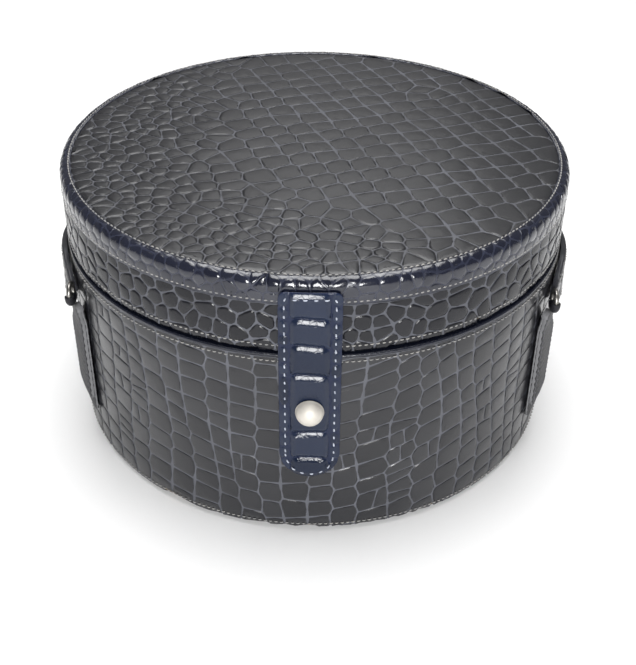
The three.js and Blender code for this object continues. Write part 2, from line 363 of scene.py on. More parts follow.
@dataclass
class ScaleMap:
    """A flat map of embossed scales: outlines that share their corners."""

    cells: list[list[Point]]  # Outlines, in millimetres
    period: float = 0.0  # Length after which the map repeats along its first axis, or 0
    reach: float = 0.9  # Corners closer than this become one
    looser: Field | None = None  # Where given, the reach at a place instead

    def clipped(self, outline: Sequence[Point]) -> "ScaleMap":
        """Keeps what lies inside a convex outline.

        Args:
            outline: The outline, anticlockwise.

        Returns:
            The trimmed map.
        """
        cells = self.cells
        for a, b in sides_of(outline):
            across, up = b[1] - a[1], a[0] - b[0]
            limit = across * a[0] + up * a[1]
            cells = [cut(cell, across, up, limit) for cell in cells]
            cells = [cell for cell in cells if len(cell) > 2 and area_of(cell) > 0.05]
        return ScaleMap(cells, self.period, self.reach, self.looser)

    def split(self, chance: Field, dice: random.Random) -> "ScaleMap":
        """Breaks some scales in two across their longer way.

        Args:
            chance: How likely a scale at a place is to break.
            dice: The source of chance.

        Returns:
            The finer map.
        """
        cells = []
        for cell in self.cells:
            u = sum(p[0] for p in cell) / len(cell)
            v = sum(p[1] for p in cell) / len(cell)
            if dice.random() >= chance(u, v):
                cells.append(cell)
                continue
            wide = max(p[0] for p in cell) - min(p[0] for p in cell)
            high = max(p[1] for p in cell) - min(p[1] for p in cell)
            angle = (0.0 if wide > high else math.pi / 2) + dice.uniform(-0.22, 0.22)
            across, up = math.cos(angle), math.sin(angle)
            limit = across * u + up * v + dice.uniform(-0.8, 0.8)
            halves = [cut(cell, across, up, limit), cut(cell, -across, -up, -limit)]
            if all(len(half) > 2 and abs(area_of(half)) > 22 and room_in(half) > 1.9 for half in halves):
                cells.extend(halves)
            else:
                cells.append(cell)
        return ScaleMap(cells, self.period, self.reach)

    def welded(self) -> list[list[tuple[int, int, float, float]]]:
        """Joins near corners and gives each outline every corner that lies on its edges.

        Returns:
            Outlines of (corner number, turn, u, v), where turn counts whole periods.
        """
        size = 6.0 if not self.period else self.period / int(self.period // 6)
        wrap = int(round(self.period / size)) if self.period else 0
        bins: dict[tuple[int, int], list[int]] = {}
        spots: list[Point] = []

        def bin_of(u: float, v: float) -> tuple[int, int]:
            """Names the square that holds a place."""
            column = math.floor(u / size)
            return (column % wrap if wrap else column, math.floor(v / size))

        def near(u: float, v: float, span: int) -> Iterator[int]:
            """Lists the corners in the squares around a place."""
            column, row = bin_of(u, v)
            for i in range(-span, span + 1):
                for j in range(-span, span + 1):
                    at = column + i
                    yield from bins.get((at % wrap if wrap else at, row + j), ())

        def turns(u: float, k: int) -> int:
            """Counts the periods between a place and a corner."""
            return round((u - spots[k][0]) / self.period) if self.period else 0

        known: dict[Point, tuple[int, int]] = {}

        def corner(u: float, v: float) -> tuple[int, int]:
            """Finds or makes the corner at a place.

            Args:
                u: The place's first part.
                v: Its second part.

            Returns:
                The corner's number, and the periods from it to the place.
            """
            key = (round(u, 3), round(v, 3))
            if key in known:
                return known[key]
            reach = self.looser(u, v) if self.looser else self.reach
            for k in near(u, v, 1):
                turn = turns(u, k)
                if math.hypot(u - turn * self.period - spots[k][0], v - spots[k][1]) < reach:
                    known[key] = (k, turn)
                    return known[key]
            spots.append((u, v))
            bins.setdefault(bin_of(u, v), []).append(len(spots) - 1)
            known[key] = (len(spots) - 1, 0)
            return known[key]

        loops = []
        for cell in self.cells:
            loop: list[tuple[int, int]] = []
            for u, v in cell:
                found = corner(u, v)
                if found not in loop:
                    loop.append(found)
            if len(loop) > 2:
                loops.append(loop)

        def at(k: int, turn: int) -> Point:
            """Gives the place of a corner, some periods on."""
            return spots[k][0] + turn * self.period, spots[k][1]

        filled = []
        for loop in loops:
            outline = []
            for (k, turn), (k2, turn2) in sides_of(loop):
                a, b = at(k, turn), at(k2, turn2)
                length = math.hypot(b[0] - a[0], b[1] - a[1])
                along = ((b[0] - a[0]) / length, (b[1] - a[1]) / length)
                middle = ((a[0] + b[0]) / 2, (a[1] + b[1]) / 2)
                found = []
                for n in set(near(*middle, 1 + int(length / 2 / size))):
                    turn_n = turns(middle[0], n)
                    p = at(n, turn_n)
                    run = (p[0] - a[0]) * along[0] + (p[1] - a[1]) * along[1]
                    off = (p[0] - a[0]) * along[1] - (p[1] - a[1]) * along[0]
                    if 0.05 < run < length - 0.05 and abs(off) < 0.35 and (n, turn_n) not in loop:
                        found.append((run, n, turn_n))
                outline.append((k, turn))
                outline.extend((n, turn_n) for _, n, turn_n in sorted(found) if (n, turn_n) not in outline)
            filled.append([(k, turn, *at(k, turn)) for k, turn in outline])
        return filled


@dataclass
class ColumnPlan:
    """Long wavy lines with cross lines between them, as on a reptile's belly."""

    lines: list[float]  # Where the long lines stand
    wave: Field  # How far a line strays, by its number and the way along it
    low: float  # Where the columns start
    high: float  # Where they end
    step: Field  # Mean length of a scale at a place
    kink: Field  # How far a line bends towards each cross line, at a place
    slant: Field  # How far a cross line rises over its length, at a place
    period: float = 0.0  # Repeat across the lines, or 0
    snap: float = 2.4  # Cross lines that meet a line this close together meet in one point

    def lay(self, dice: random.Random) -> ScaleMap:
        """Lays the scales out.

        Args:
            dice: The source of chance.

        Returns:
            The map of scales, lines upright.
        """
        count = len(self.lines)
        columns = count if self.period else count - 1
        ends: list[list[list]] = [[] for _ in range(count)]
        crossings = []
        for i in range(columns):
            place = self.lines[i]
            up = self.low - dice.random() * self.step(place, self.low)
            column = []
            while up < self.high + 40:
                slant = self.slant(place, up) + dice.uniform(-0.6, 0.6)
                left = [up - slant / 2, 1, False]
                right = [up + slant / 2, -1, False]
                ends[i].append(left)
                ends[(i + 1) % count].append(right)
                column.append((left, right))
                up += self.step(place, up) * dice.uniform(0.78, 1.22)
            crossings.append(column)
        for line in ends:
            line.sort(key=lambda end: end[0])
            for a, b in zip(line, line[1:]):
                if b[0] - a[0] < self.snap and a[1] != b[1] and not a[2]:
                    a[0] = b[0] = (a[0] + b[0]) / 2
                    a[2] = b[2] = True

        def spot(i: int, end: list, shift: float) -> Point:
            """Gives the place of a cross line's end on a line.

            Args:
                i: The line's number.
                end: The end: its height, its side and whether it is snapped.
                shift: The period to add.

            Returns:
                The place.
            """
            u = self.lines[i] + self.wave(i, end[0])
            bend = 0.0 if end[2] else end[1] * self.kink(self.lines[i], end[0])
            return u + bend + shift, end[0]

        cells = []
        for i, column in enumerate(crossings):
            j = (i + 1) % count
            shift = self.period if j < i or count == 1 else 0.0
            for (left, right), (left2, right2) in zip(column, column[1:]):
                rising = [spot(j, e, shift) for e in ends[j] if right[0] <= e[0] <= right2[0]]
                falling = [spot(i, e, 0.0) for e in reversed(ends[i]) if left[0] <= e[0] <= left2[0]]
                cells.append(rising + falling)
        return ScaleMap(cells, self.period)


def grown_map(seeds: Sequence[Point], period: float = 0.0, span: float = 26.0) -> ScaleMap:
    """Grows rounded scales from seeds until they meet.

    Args:
        seeds: The middle of each scale.
        period: The repeat along the first axis, or 0.
        span: The most that a scale may measure.

    Returns:
        The map of scales.
    """
    spots = np.array(seeds)
    if period:
        spots = np.vstack([spots, spots + (period, 0), spots - (period, 0)])
    cells = []
    for u, v in seeds:
        half = span / 2
        cell = [(u - half, v - half), (u + half, v - half), (u + half, v + half), (u - half, v + half)]
        apart = np.hypot(spots[:, 0] - u, spots[:, 1] - v)
        for k in np.argsort(apart)[1:26]:
            if apart[k] < span * 1.5:
                across, up = spots[k][0] - u, spots[k][1] - v
                limit = across * (u + spots[k][0]) / 2 + up * (v + spots[k][1]) / 2
                cell = cut(cell, across, up, limit)
        if len(cell) > 2:
            cells.append(cell)
    return ScaleMap(cells, period)


def scattered(
    width: float, low: float, high: float, pitch: Field, dice: random.Random, loose: float = 0.3
) -> list[Point]:
    """Scatters seeds in staggered rows of varying pitch.

    Args:
        width: The length of a row, which repeats.
        low: The first row.
        high: The last row.
        pitch: The mean distance between seeds at a place.
        dice: The source of chance.
        loose: How far a seed strays, as a share of the pitch.

    Returns:
        The seeds.
    """
    seeds = []
    up = low
    while up < high:
        u = -width / 2 + dice.random() * pitch(0, up)
        first = u
        while u < first + width - 0.5 * pitch(u, up):
            gap = pitch(u, up)
            seeds.append((u + dice.uniform(-loose, loose) * gap, up + dice.uniform(-loose, loose) * gap))
            u += gap * dice.uniform(0.8, 1.2)
        up += pitch(0, up) * 0.9
    return seeds


@dataclass(frozen=True)
class Relief:
    """How a sheet is embossed, in millimetres."""

    body: float = 0.75  # Leather's thickness under the grooves
    groove: float = 0.10  # Half the width of a groove's floor
    shoulder: float = 0.32  # Width of a scale's flank
    rise: float = 0.34  # Height of the flank
    pillow: float = 1.4  # Width of the swelling above it
    crown: float = 0.21  # Height of the swelling
    crisp: float = 0.62  # How far the scales keep their corners, from 0 to 1
    levels: int = 1  # How often the embossing is rounded

    @property
    def height(self) -> float:
        """Gives the whole height of a scale above its groove."""
        return self.rise + self.crown

    def passes(self, room: float) -> list[Point]:
        """Chooses the insets that a scale has room for.

        Args:
            room: The radius of the circle that fits in the scale.

        Returns:
            Pairs of inset width and lift.
        """
        if room < TINY:
            return []
        if room < SMALL:
            return [(self.groove * 0.5, 0.0), (self.shoulder * 0.5, self.rise * 0.5)]
        if room < MIDDLING:
            return [(self.groove * 0.8, 0.0), (self.shoulder * 0.8, self.rise * 0.75)]
        swell = min(self.pillow, (room - self.groove - self.shoulder) * 0.6)
        if self.levels == 1:
            return [(self.groove, 0.0), (self.shoulder, self.rise), (swell, self.crown)]
        flank = [(self.shoulder * 0.15, self.rise * 0.25), (self.shoulder * 0.85, self.rise * 0.75)]
        dome = [(swell * 0.45, self.crown * 0.65), (swell * 0.55, self.crown * 0.35)]
        return [(self.groove, 0.0), *flank, *dome]


def press(
    name: str, scales: ScaleMap, relief: Relief, dice: random.Random, limits: Point | None = None
) -> Piece:
    """Embosses a flat sheet of leather: grooves, flanks and swollen scales.

    Args:
        name: The object's name.
        scales: The map of scales.
        relief: How deep and wide the embossing is.
        dice: The source of chance for each scale's tone.
        limits: The sheet's lower and upper edge, where its ends will be joined.

    Returns:
        The sheet, flat and in millimetres, with its underside at height 0.
    """
    outlines = scales.welded()
    numbers: dict[tuple[int, int], int] = {}
    points, faces = [], []
    for outline in outlines:
        for k, turn, u, v in outline:
            if (k, turn) not in numbers:
                numbers[(k, turn)] = len(points)
                points.append((u, v, 0.0))
        faces.append([numbers[(k, turn)] for k, turn, _, _ in outline])
    obj = new_object(name, points, [], faces)
    tone = obj.data.attributes.new("tone", "FLOAT", "FACE")
    tone.data.foreach_set("value", [dice.random() for _ in faces])
    with edit_mode(obj):
        bpy.ops.mesh.extrude_region_move(TRANSFORM_OT_translate={"value": (0, 0, relief.body)})
        bpy.ops.mesh.select_all(action="SELECT")
        bpy.ops.mesh.normals_make_consistent(inside=False)
        if limits:
            low, high = limits[0] + 0.03, limits[1] - 0.03
            pick_faces(obj, lambda f: abs(f.normal.z) < 0.3 and low < f.calc_center_median().y < high)
            bpy.ops.mesh.delete(type="ONLY_FACE")
        mesh = bmesh.from_edit_mesh(obj.data)
        for face in mesh.faces:
            above = face.calc_center_median().z > relief.body / 2
            if abs(face.normal.z) > 0.5 and (face.normal.z > 0) != above:
                face.normal_flip()
        room_of = {
            f.index: 2 * f.calc_area() / max(f.calc_perimeter(), 1e-6)
            for f in mesh.faces
            if f.normal.z > 0.5
        }
        marks = mesh.faces.layers.float.new("room")
        for face in mesh.faces:
            face[marks] = room_of.get(face.index, -1.0)
        bmesh.update_edit_mesh(obj.data)
        for least, most in zip(ROOMS, ROOMS[1:]):
            steps = relief.passes((least + min(most, WIDEST)) / 2)
            mesh = bmesh.from_edit_mesh(obj.data)
            marks = mesh.faces.layers.float["room"]
            if not steps or not pick_faces(obj, lambda f: least <= f[marks] < most):
                continue
            for width, lift in steps:
                bpy.ops.mesh.inset(thickness=width, depth=lift, use_individual=True, use_even_offset=False)
            mesh = bmesh.from_edit_mesh(obj.data)
            marks = mesh.faces.layers.float["room"]
            for face in mesh.faces:
                if least <= face[marks] < most:
                    face[marks] = -1.0
            bmesh.update_edit_mesh(obj.data)
        bpy.ops.mesh.select_all(action="SELECT")
        bpy.ops.transform.vert_crease(value=relief.crisp)
    obj.data.attributes.remove(obj.data.attributes["room"])
    subdivide(obj, relief.levels)
    heights = (corners_of(obj)[:, 2] - relief.body) / relief.height
    rise = obj.data.attributes.new("rise", "FLOAT", "POINT")
    rise.data.foreach_set("value", np.clip(heights, 0, 1).astype(np.float32))
    return obj


def rounded_box(width: float, low: float, high: float, corner: float) -> list[Point]:
    """Outline of an upright strip with rounded corners, anticlockwise.

    Args:
        width: The strip's width.
        low: Its lower edge.
        high: Its upper edge.
        corner: The radius of its corners.

    Returns:
        The outline's points.
    """
    half = width / 2 - corner
    return [
        *arc((half, low + corner), corner, -90, 0, 5),
        *arc((half, high - corner), corner, 0, 90, 5),
        *arc((-half, high - corner), corner, 90, 180, 5),
        *arc((-half, low + corner), corner, 180, 270, 5),
    ]


# Finishes


class Graph:
    """A node tree, with short calls to add and join its nodes."""

    def __init__(self, tree: bpy.types.NodeTree) -> None:
        """Keeps the tree."""
        self.tree = tree

    def add(self, kind: str, **values: object) -> Node:
        """Adds a node and sets its own fields and its inputs.

        Args:
            kind: Blender's name for the node type.
            **values: Fields of the node, or inputs with _ for a space.

        Returns:
            The node.
        """
        node = self.tree.nodes.new(kind)
        for key, value in values.items():
            if hasattr(node, key):
                setattr(node, key, value)
            else:
                node.inputs[key.replace("_", " ")].default_value = value
        return node

    def feed(self, end: Socket, value: object) -> None:
        """Joins an output to an input, or sets the input.

        Args:
            end: The input.
            value: An output, or the plain value that the input is set to.
        """
        if isinstance(value, Socket):
            self.tree.links.new(value, end)
        else:
            end.default_value = value

    def mix(self, share: Socket, low: Colour | Socket, high: Colour | Socket) -> Socket:
        """Mixes two colours by a share.

        Args:
            share: The output that says how much of the second.
            low: A colour or an output.
            high: A colour or an output.

        Returns:
            The mixed colour.
        """
        node = self.add("ShaderNodeMix", data_type="RGBA")
        self.feed(node.inputs[0], share)
        for at, value in ((6, low), (7, high)):
            self.feed(node.inputs[at], value if isinstance(value, Socket) else (*value, 1.0))
        return node.outputs[2]

    def span(self, value: Socket, source: Point, target: Point) -> Socket:
        """Maps a value smoothly from one range to another.

        Args:
            value: The output to map.
            source: The range that it comes from.
            target: The range that it goes to.

        Returns:
            The mapped value.
        """
        node = self.add("ShaderNodeMapRange", interpolation_type="SMOOTHSTEP")
        for at, number in enumerate((value, *source, *target)):
            self.feed(node.inputs[at], number)
        return node.outputs[0]

    def math(self, operation: str, a: float | Socket, b: float | Socket) -> Socket:
        """Works on two values.

        Args:
            operation: Blender's name for the sum.
            a: A number or an output.
            b: A number or an output.

        Returns:
            The result.
        """
        node = self.add("ShaderNodeMath", operation=operation)
        for at, value in enumerate((a, b)):
            self.feed(node.inputs[at], value)
        return node.outputs[0]

    def mean(self, a: Socket, b: Socket) -> Socket:
        """Gives the mean of two values."""
        return self.math("MULTIPLY", self.math("ADD", a, b), 0.5)


class SurfaceGraph(Graph):
    """A material's nodes, with its shader and its object coordinates."""

    def __init__(self, material: bpy.types.Material) -> None:
        """Opens a material's node tree.

        Args:
            material: The material.
        """
        super().__init__(material.node_tree)
        self.shader = self.tree.nodes["Principled BSDF"]
        self.place = self.add("ShaderNodeTexCoord").outputs["Object"]

    def placed(self, kind: str, **values: object) -> Node:
        """Adds a node that reads the object coordinates.

        Args:
            kind: Blender's name for the node type.
            **values: Fields of the node, or inputs with _ for a space.

        Returns:
            The node.
        """
        node = self.add(kind, **values)
        self.feed(node.inputs["Vector"], self.place)
        return node

    def noise(self, **values: float) -> Socket:
        """Adds a noise over the surface and gives its value."""
        return self.placed("ShaderNodeTexNoise", **values).outputs[0]

    def mark(self, name: str) -> Socket:
        """Gives one of the piece's attributes as a value."""
        return self.add("ShaderNodeAttribute", attribute_name=name).outputs["Fac"]

    def show(self, **values: object) -> None:
        """Feeds the shader's inputs, named with _ for a space."""
        for key, value in values.items():
            self.feed(self.shader.inputs[key.replace("_", " ")], value)

    def bump(self, height: Socket, strength: float, depth: float) -> None:
        """Feeds a height to the shader's normal.

        Args:
            height: The height that varies over the surface.
            strength: How strong the bump is.
            depth: How deep it is, in metres.
        """
        node = self.add("ShaderNodeBump", Strength=strength, Distance=depth)
        self.feed(node.inputs["Height"], height)
        self.show(Normal=node.outputs[0])


def shared_group(name: str, inputs: dict[str, str], outputs: Sequence[str]) -> tuple[Graph, Node, Node]:
    """Starts a shader node group with named sockets.

    Args:
        name: The group's name.
        inputs: Kinds of its inputs, by name.
        outputs: Names of its outputs, which are plain values.

    Returns:
        The group's graph, its input node and its output node.
    """
    tree = bpy.data.node_groups.new(name, "ShaderNodeTree")
    for label, kind in inputs.items():
        tree.interface.new_socket(label, in_out="INPUT", socket_type=kind)
    for label in outputs:
        tree.interface.new_socket(label, in_out="OUTPUT", socket_type="NodeSocketFloat")
    graph = Graph(tree)
    return graph, graph.add("NodeGroupInput"), graph.add("NodeGroupOutput")


def grain_group() -> bpy.types.NodeTree:
    """Gives the fine grain of pressed leather: creases, pores and blotches.

    Returns:
        The group, built once.
    """
    if "fine_grain" in bpy.data.node_groups:
        return bpy.data.node_groups["fine_grain"]
    inputs = {"Vector": "NodeSocketVector", "Scale": "NodeSocketFloat"}
    graph, start, end = shared_group("fine_grain", inputs, ["Height", "Blotch"])
    crease = graph.add("ShaderNodeTexVoronoi", feature="DISTANCE_TO_EDGE")
    pore = graph.add("ShaderNodeTexNoise", Detail=4.0, Roughness=0.6)
    blotch = graph.add("ShaderNodeTexNoise", Detail=2.0)
    for node, share in ((crease, 1.0), (pore, 1.7), (blotch, 0.045)):
        graph.feed(node.inputs["Vector"], start.outputs["Vector"])
        graph.feed(node.inputs["Scale"], graph.math("MULTIPLY", start.outputs["Scale"], share))
    creases = graph.span(crease.outputs["Distance"], (0.0, 0.12), (0.0, 1.0))
    height = graph.math("ADD", graph.math("MULTIPLY", creases, 0.5), pore.outputs[0])
    graph.feed(end.inputs["Height"], height)
    graph.feed(end.inputs["Blotch"], blotch.outputs[0])
    return graph.tree


def wear_group() -> bpy.types.NodeTree:
    """Gives light handling marks and settled dust as a mask.

    Returns:
        The group, built once.
    """
    if "handling" in bpy.data.node_groups:
        return bpy.data.node_groups["handling"]
    graph, start, end = shared_group("handling", {"Vector": "NodeSocketVector"}, ["Mask"])
    smear = graph.add("ShaderNodeTexNoise", Scale=38.0, Detail=5.0, Roughness=0.7, Distortion=1.2)
    speck = graph.add("ShaderNodeTexNoise", Scale=900.0, Detail=1.0)
    for node in (smear, speck):
        graph.feed(node.inputs["Vector"], start.outputs["Vector"])
    soft = graph.span(smear.outputs[0], (0.5, 0.75), (0.0, 1.0))
    dots = graph.span(speck.outputs[0], (0.68, 0.78), (0.0, 0.5))
    graph.feed(end.inputs["Mask"], graph.math("MAXIMUM", soft, dots))
    return graph.tree


@dataclass(frozen=True)
class Finish:
    """What every finish has: a name and a way to make its material once."""

    name: str  # Material's name

    def material(self) -> bpy.types.Material:
        """Finds the material, or makes it and its nodes.

        Returns:
            The material.
        """
        found = bpy.data.materials.get(self.name)
        if found:
            return found
        made = bpy.data.materials.new(self.name)
        made.use_nodes = True
        self.compose(SurfaceGraph(made))
        return made

    def compose(self, graph: SurfaceGraph) -> None:
        """Builds the material's nodes; each finish has its own."""
        raise NotImplementedError

    def dress(self, obj: Piece) -> None:
        """Gives an object this finish all over."""
        obj.data.materials.clear()
        obj.data.materials.append(self.material())


@dataclass(frozen=True)
class Leather(Finish):
    """Pressed and lacquered leather, darker on its scales than in its grooves."""

    plate: Colour = (0.008, 0.008, 0.010)  # Colour of the scales
    plate_alt: Colour = (0.014, 0.0145, 0.018)  # Colour that some scales lean to
    groove: Colour = (0.095, 0.099, 0.116)  # Colour of the grooves
    gloss: float = 0.20  # Roughness of the scales
    groove_gloss: float = 0.46  # Roughness of the grooves
    lacquer: float = 0.38  # Weight of the clear coat
    shine: float = 0.5  # Level of the leather's own reflection
    grain: float = 700.0  # Scale of the fine grain
    grain_strength: float = 0.12  # How strongly the grain shows
    embossed: bool = True  # Whether the piece carries the scales' attributes

    def compose(self, graph: SurfaceGraph) -> None:
        """Builds the leather's nodes.

        Args:
            graph: The material's graph.
        """
        grain = graph.placed("ShaderNodeGroup", node_tree=grain_group())
        wear = graph.placed("ShaderNodeGroup", node_tree=wear_group())
        grain.inputs["Scale"].default_value = self.grain
        blotch = grain.outputs["Blotch"]
        if self.embossed:
            lean = graph.mean(graph.mark("tone"), blotch)
            low = graph.span(graph.mark("rise"), (0.03, 0.26), (1.0, 0.0))
            low = graph.math("MULTIPLY", low, graph.span(blotch, (0.3, 0.7), (0.65, 1.0)))
        else:
            lean = blotch
            low = graph.span(blotch, (0.62, 0.85), (0.0, 0.35))
        plates = graph.mix(lean, self.plate, self.plate_alt)
        rough = graph.math("ADD", graph.math("MULTIPLY", low, self.groove_gloss - self.gloss), self.gloss)
        handled = graph.math("MULTIPLY", wear.outputs["Mask"], 0.10)
        coat = graph.span(lean, (0.3, 0.7), (0.45 * self.lacquer, self.lacquer))
        graph.show(
            Base_Color=graph.mix(low, plates, self.groove),
            Roughness=graph.math("ADD", rough, handled),
            Coat_Weight=graph.math("MULTIPLY", graph.math("SUBTRACT", 1.0, low), coat),
            Coat_Roughness=0.12,
            Specular_IOR_Level=self.shine,
        )
        graph.bump(grain.outputs["Height"], self.grain_strength, 0.00025)


@dataclass(frozen=True)
class Thread(Finish):
    """Waxed sewing thread."""

    colour: Colour = (0.30, 0.29, 0.275)  # Thread's colour
    shadow: Colour = (0.20, 0.20, 0.20)  # Colour between its plies

    def compose(self, graph: SurfaceGraph) -> None:
        """Builds the thread's nodes.

        Args:
            graph: The material's graph.
        """
        fibre = graph.noise(Scale=2600.0, Detail=3.0)
        soil = graph.noise(Scale=60.0, Detail=2.0)
        share = graph.span(graph.mean(fibre, soil), (0.35, 0.6), (0.0, 1.0))
        graph.show(
            Base_Color=graph.mix(share, self.shadow, self.colour),
            Roughness=graph.span(fibre, (0.3, 0.7), (0.5, 0.75)),
        )
        graph.bump(fibre, 0.5, 0.0002)


@dataclass(frozen=True)
class Pile(Finish):
    """Short velvet pile, or the nap of a foam or felt sheet."""

    colour: Colour = (0.012, 0.012, 0.018)  # Pile's colour
    crushed: Colour = (0.03, 0.03, 0.04)  # Colour where the pile lies over
    sheen: float = 0.5  # Weight of its sheen
    fibre: float = 2200.0  # Scale of its fibres

    def compose(self, graph: SurfaceGraph) -> None:
        """Builds the pile's nodes.

        Args:
            graph: The material's graph.
        """
        hair = graph.noise(Scale=self.fibre, Detail=2.0)
        brushed = graph.noise(Scale=22.0, Detail=4.0, Distortion=1.5)
        lay = graph.span(graph.mean(hair, brushed), (0.38, 0.62), (0.0, 1.0))
        graph.show(
            Base_Color=graph.mix(lay, self.colour, self.crushed),
            Roughness=graph.span(brushed, (0.3, 0.7), (0.8, 1.0)),
            Sheen_Weight=self.sheen,
            Sheen_Roughness=0.45,
        )
        graph.bump(hair, 0.6, 0.0004)


@dataclass(frozen=True)
class Greyboard(Finish):
    """Pulped board, as cut for the box's walls."""

    colour: Colour = (0.26, 0.20, 0.13)  # Board's colour
    fleck: Colour = (0.14, 0.11, 0.08)  # Colour of its fibres

    def compose(self, graph: SurfaceGraph) -> None:
        """Builds the board's nodes.

        Args:
            graph: The material's graph.
        """
        pulp = graph.noise(Scale=420.0, Detail=6.0, Roughness=0.75)
        share = graph.span(pulp, (0.4, 0.65), (0.0, 1.0))
        graph.show(
            Base_Color=graph.mix(share, self.colour, self.fleck),
            Roughness=graph.span(pulp, (0.3, 0.7), (0.8, 0.95)),
        )
        graph.bump(pulp, 0.4, 0.0003)


@dataclass(frozen=True)
class Nickel(Finish):
    """Satin nickel plate."""

    colour: Colour = (0.60, 0.57, 0.52)  # Metal's colour
    dull: Colour = (0.53, 0.50, 0.45)  # Colour of its tarnish
    gloss: float = 0.62  # Its roughness
    metal: float = 0.6  # How far it reflects as bare metal

    def compose(self, graph: SurfaceGraph) -> None:
        """Builds the metal's nodes.

        Args:
            graph: The material's graph.
        """
        wear = graph.placed("ShaderNodeGroup", node_tree=wear_group())
        brushed = graph.noise(Scale=1500.0, Detail=3.0)
        graph.show(
            Base_Color=graph.mix(wear.outputs["Mask"], self.colour, self.dull),
            Roughness=graph.math("ADD", graph.math("MULTIPLY", brushed, 0.14), self.gloss - 0.07),
            Metallic=self.metal,
        )
        graph.bump(brushed, 0.05, 0.0001)


@dataclass(frozen=True)
class FloorPaper(Finish):
    """Plain pale studio paper."""

    colour: Colour = (0.86, 0.86, 0.86)  # Paper's colour

    def compose(self, graph: SurfaceGraph) -> None:
        """Builds the paper's nodes.

        Args:
            graph: The material's graph.
        """
        darker = tuple(0.985 * part for part in self.colour)
        tooth = graph.noise(Scale=300.0, Detail=4.0)
        graph.show(Base_Color=graph.mix(tooth, darker, self.colour), Roughness=0.9)


CROC = Leather("croc_embossed_leather", gloss=0.28, lacquer=0.3, shine=0.44)
# The lid top's copy of the croc leather is rougher and less lacquered, and its plates and grooves are darker
# than on the sides. That darkness is painted shade that holds the top's tone down under the lamps.
SHADED_CROC_TOP = Leather(
    "croc_lid_top_leather_painted_shade", plate=(0.006, 0.006, 0.008), plate_alt=(0.012, 0.0122, 0.0145),
    groove=(0.072, 0.075, 0.088), gloss=0.37, groove_gloss=0.55, lacquer=0.1,
)
CROC_SIDE = Leather("croc_lid_side_leather", lacquer=0.13, shine=0.24)
CROC_BINDING = Leather(
    "croc_binding_leather", plate=(0.006, 0.007, 0.014), plate_alt=(0.010, 0.012, 0.024),
    groove=(0.022, 0.025, 0.042), gloss=0.16, groove_gloss=0.3, lacquer=0.6,
)
STRAP_LEATHER = Leather(
    "strap_leather", plate=(0.003, 0.006, 0.016), plate_alt=(0.016, 0.024, 0.050),
    groove=(0.010, 0.015, 0.038), gloss=0.12, groove_gloss=0.18, lacquer=0.16, shine=0.23, grain=300.0,
    grain_strength=0.4,
)
CARRY_LEATHER = Leather(
    "carry_strap_leather", plate=(0.006, 0.006, 0.009), plate_alt=(0.010, 0.010, 0.014),
    groove=(0.03, 0.031, 0.037), gloss=0.28, lacquer=0.2, shine=0.4,
)
LUG_LEATHER = Leather(
    "lug_leather", plate=(0.010, 0.010, 0.013), plate_alt=(0.016, 0.016, 0.020), groove=(0.03, 0.032, 0.04),
    gloss=0.5, groove_gloss=0.6, lacquer=0.0, shine=0.25, embossed=False,
)
EDGE_PAINT = Leather(
    "painted_cut_edge", plate=(0.13, 0.131, 0.138), plate_alt=(0.17, 0.171, 0.178), groove=(0.2, 0.2, 0.2),
    gloss=0.6, groove_gloss=0.7, lacquer=0.0, grain_strength=0.3, embossed=False,
)
ROLLED_LEATHER = Leather(
    "rolled_edge_leather", plate=(0.004, 0.005, 0.011), plate_alt=(0.008, 0.010, 0.020),
    groove=(0.018, 0.022, 0.038), gloss=0.24, lacquer=0.3, grain=420.0, grain_strength=0.35, embossed=False,
)
COVER_LEATHER = Leather(
    "bottom_cover_leather", plate=(0.012, 0.012, 0.015), plate_alt=(0.02, 0.02, 0.024),
    groove=(0.04, 0.04, 0.045), gloss=0.45, lacquer=0.0, grain=520.0, grain_strength=0.5, embossed=False,
)
THREAD = Thread("waxed_thread")
BLUE_THREAD = Thread("strap_thread", colour=(0.46, 0.49, 0.56), shadow=(0.24, 0.26, 0.32))
DARK_THREAD = Thread("lug_thread", colour=(0.12, 0.12, 0.14), shadow=(0.05, 0.05, 0.06))
VELVET = Pile("velvet_lining")
FOAM = Pile("foam_sheet", colour=(0.6, 0.57, 0.5), crushed=(0.5, 0.47, 0.4), sheen=0.0, fibre=900.0)
GREYBOARD = Greyboard("grey_board")
NICKEL = Nickel("satin_nickel")
RING_METAL = Nickel(
    "dulled_ring_metal",
    colour=(0.30, 0.29, 0.27),
    dull=(0.18, 0.17, 0.15),
    gloss=0.34,
    metal=1.0,
)
PAPER = FloorPaper("studio_paper")


# Stitching


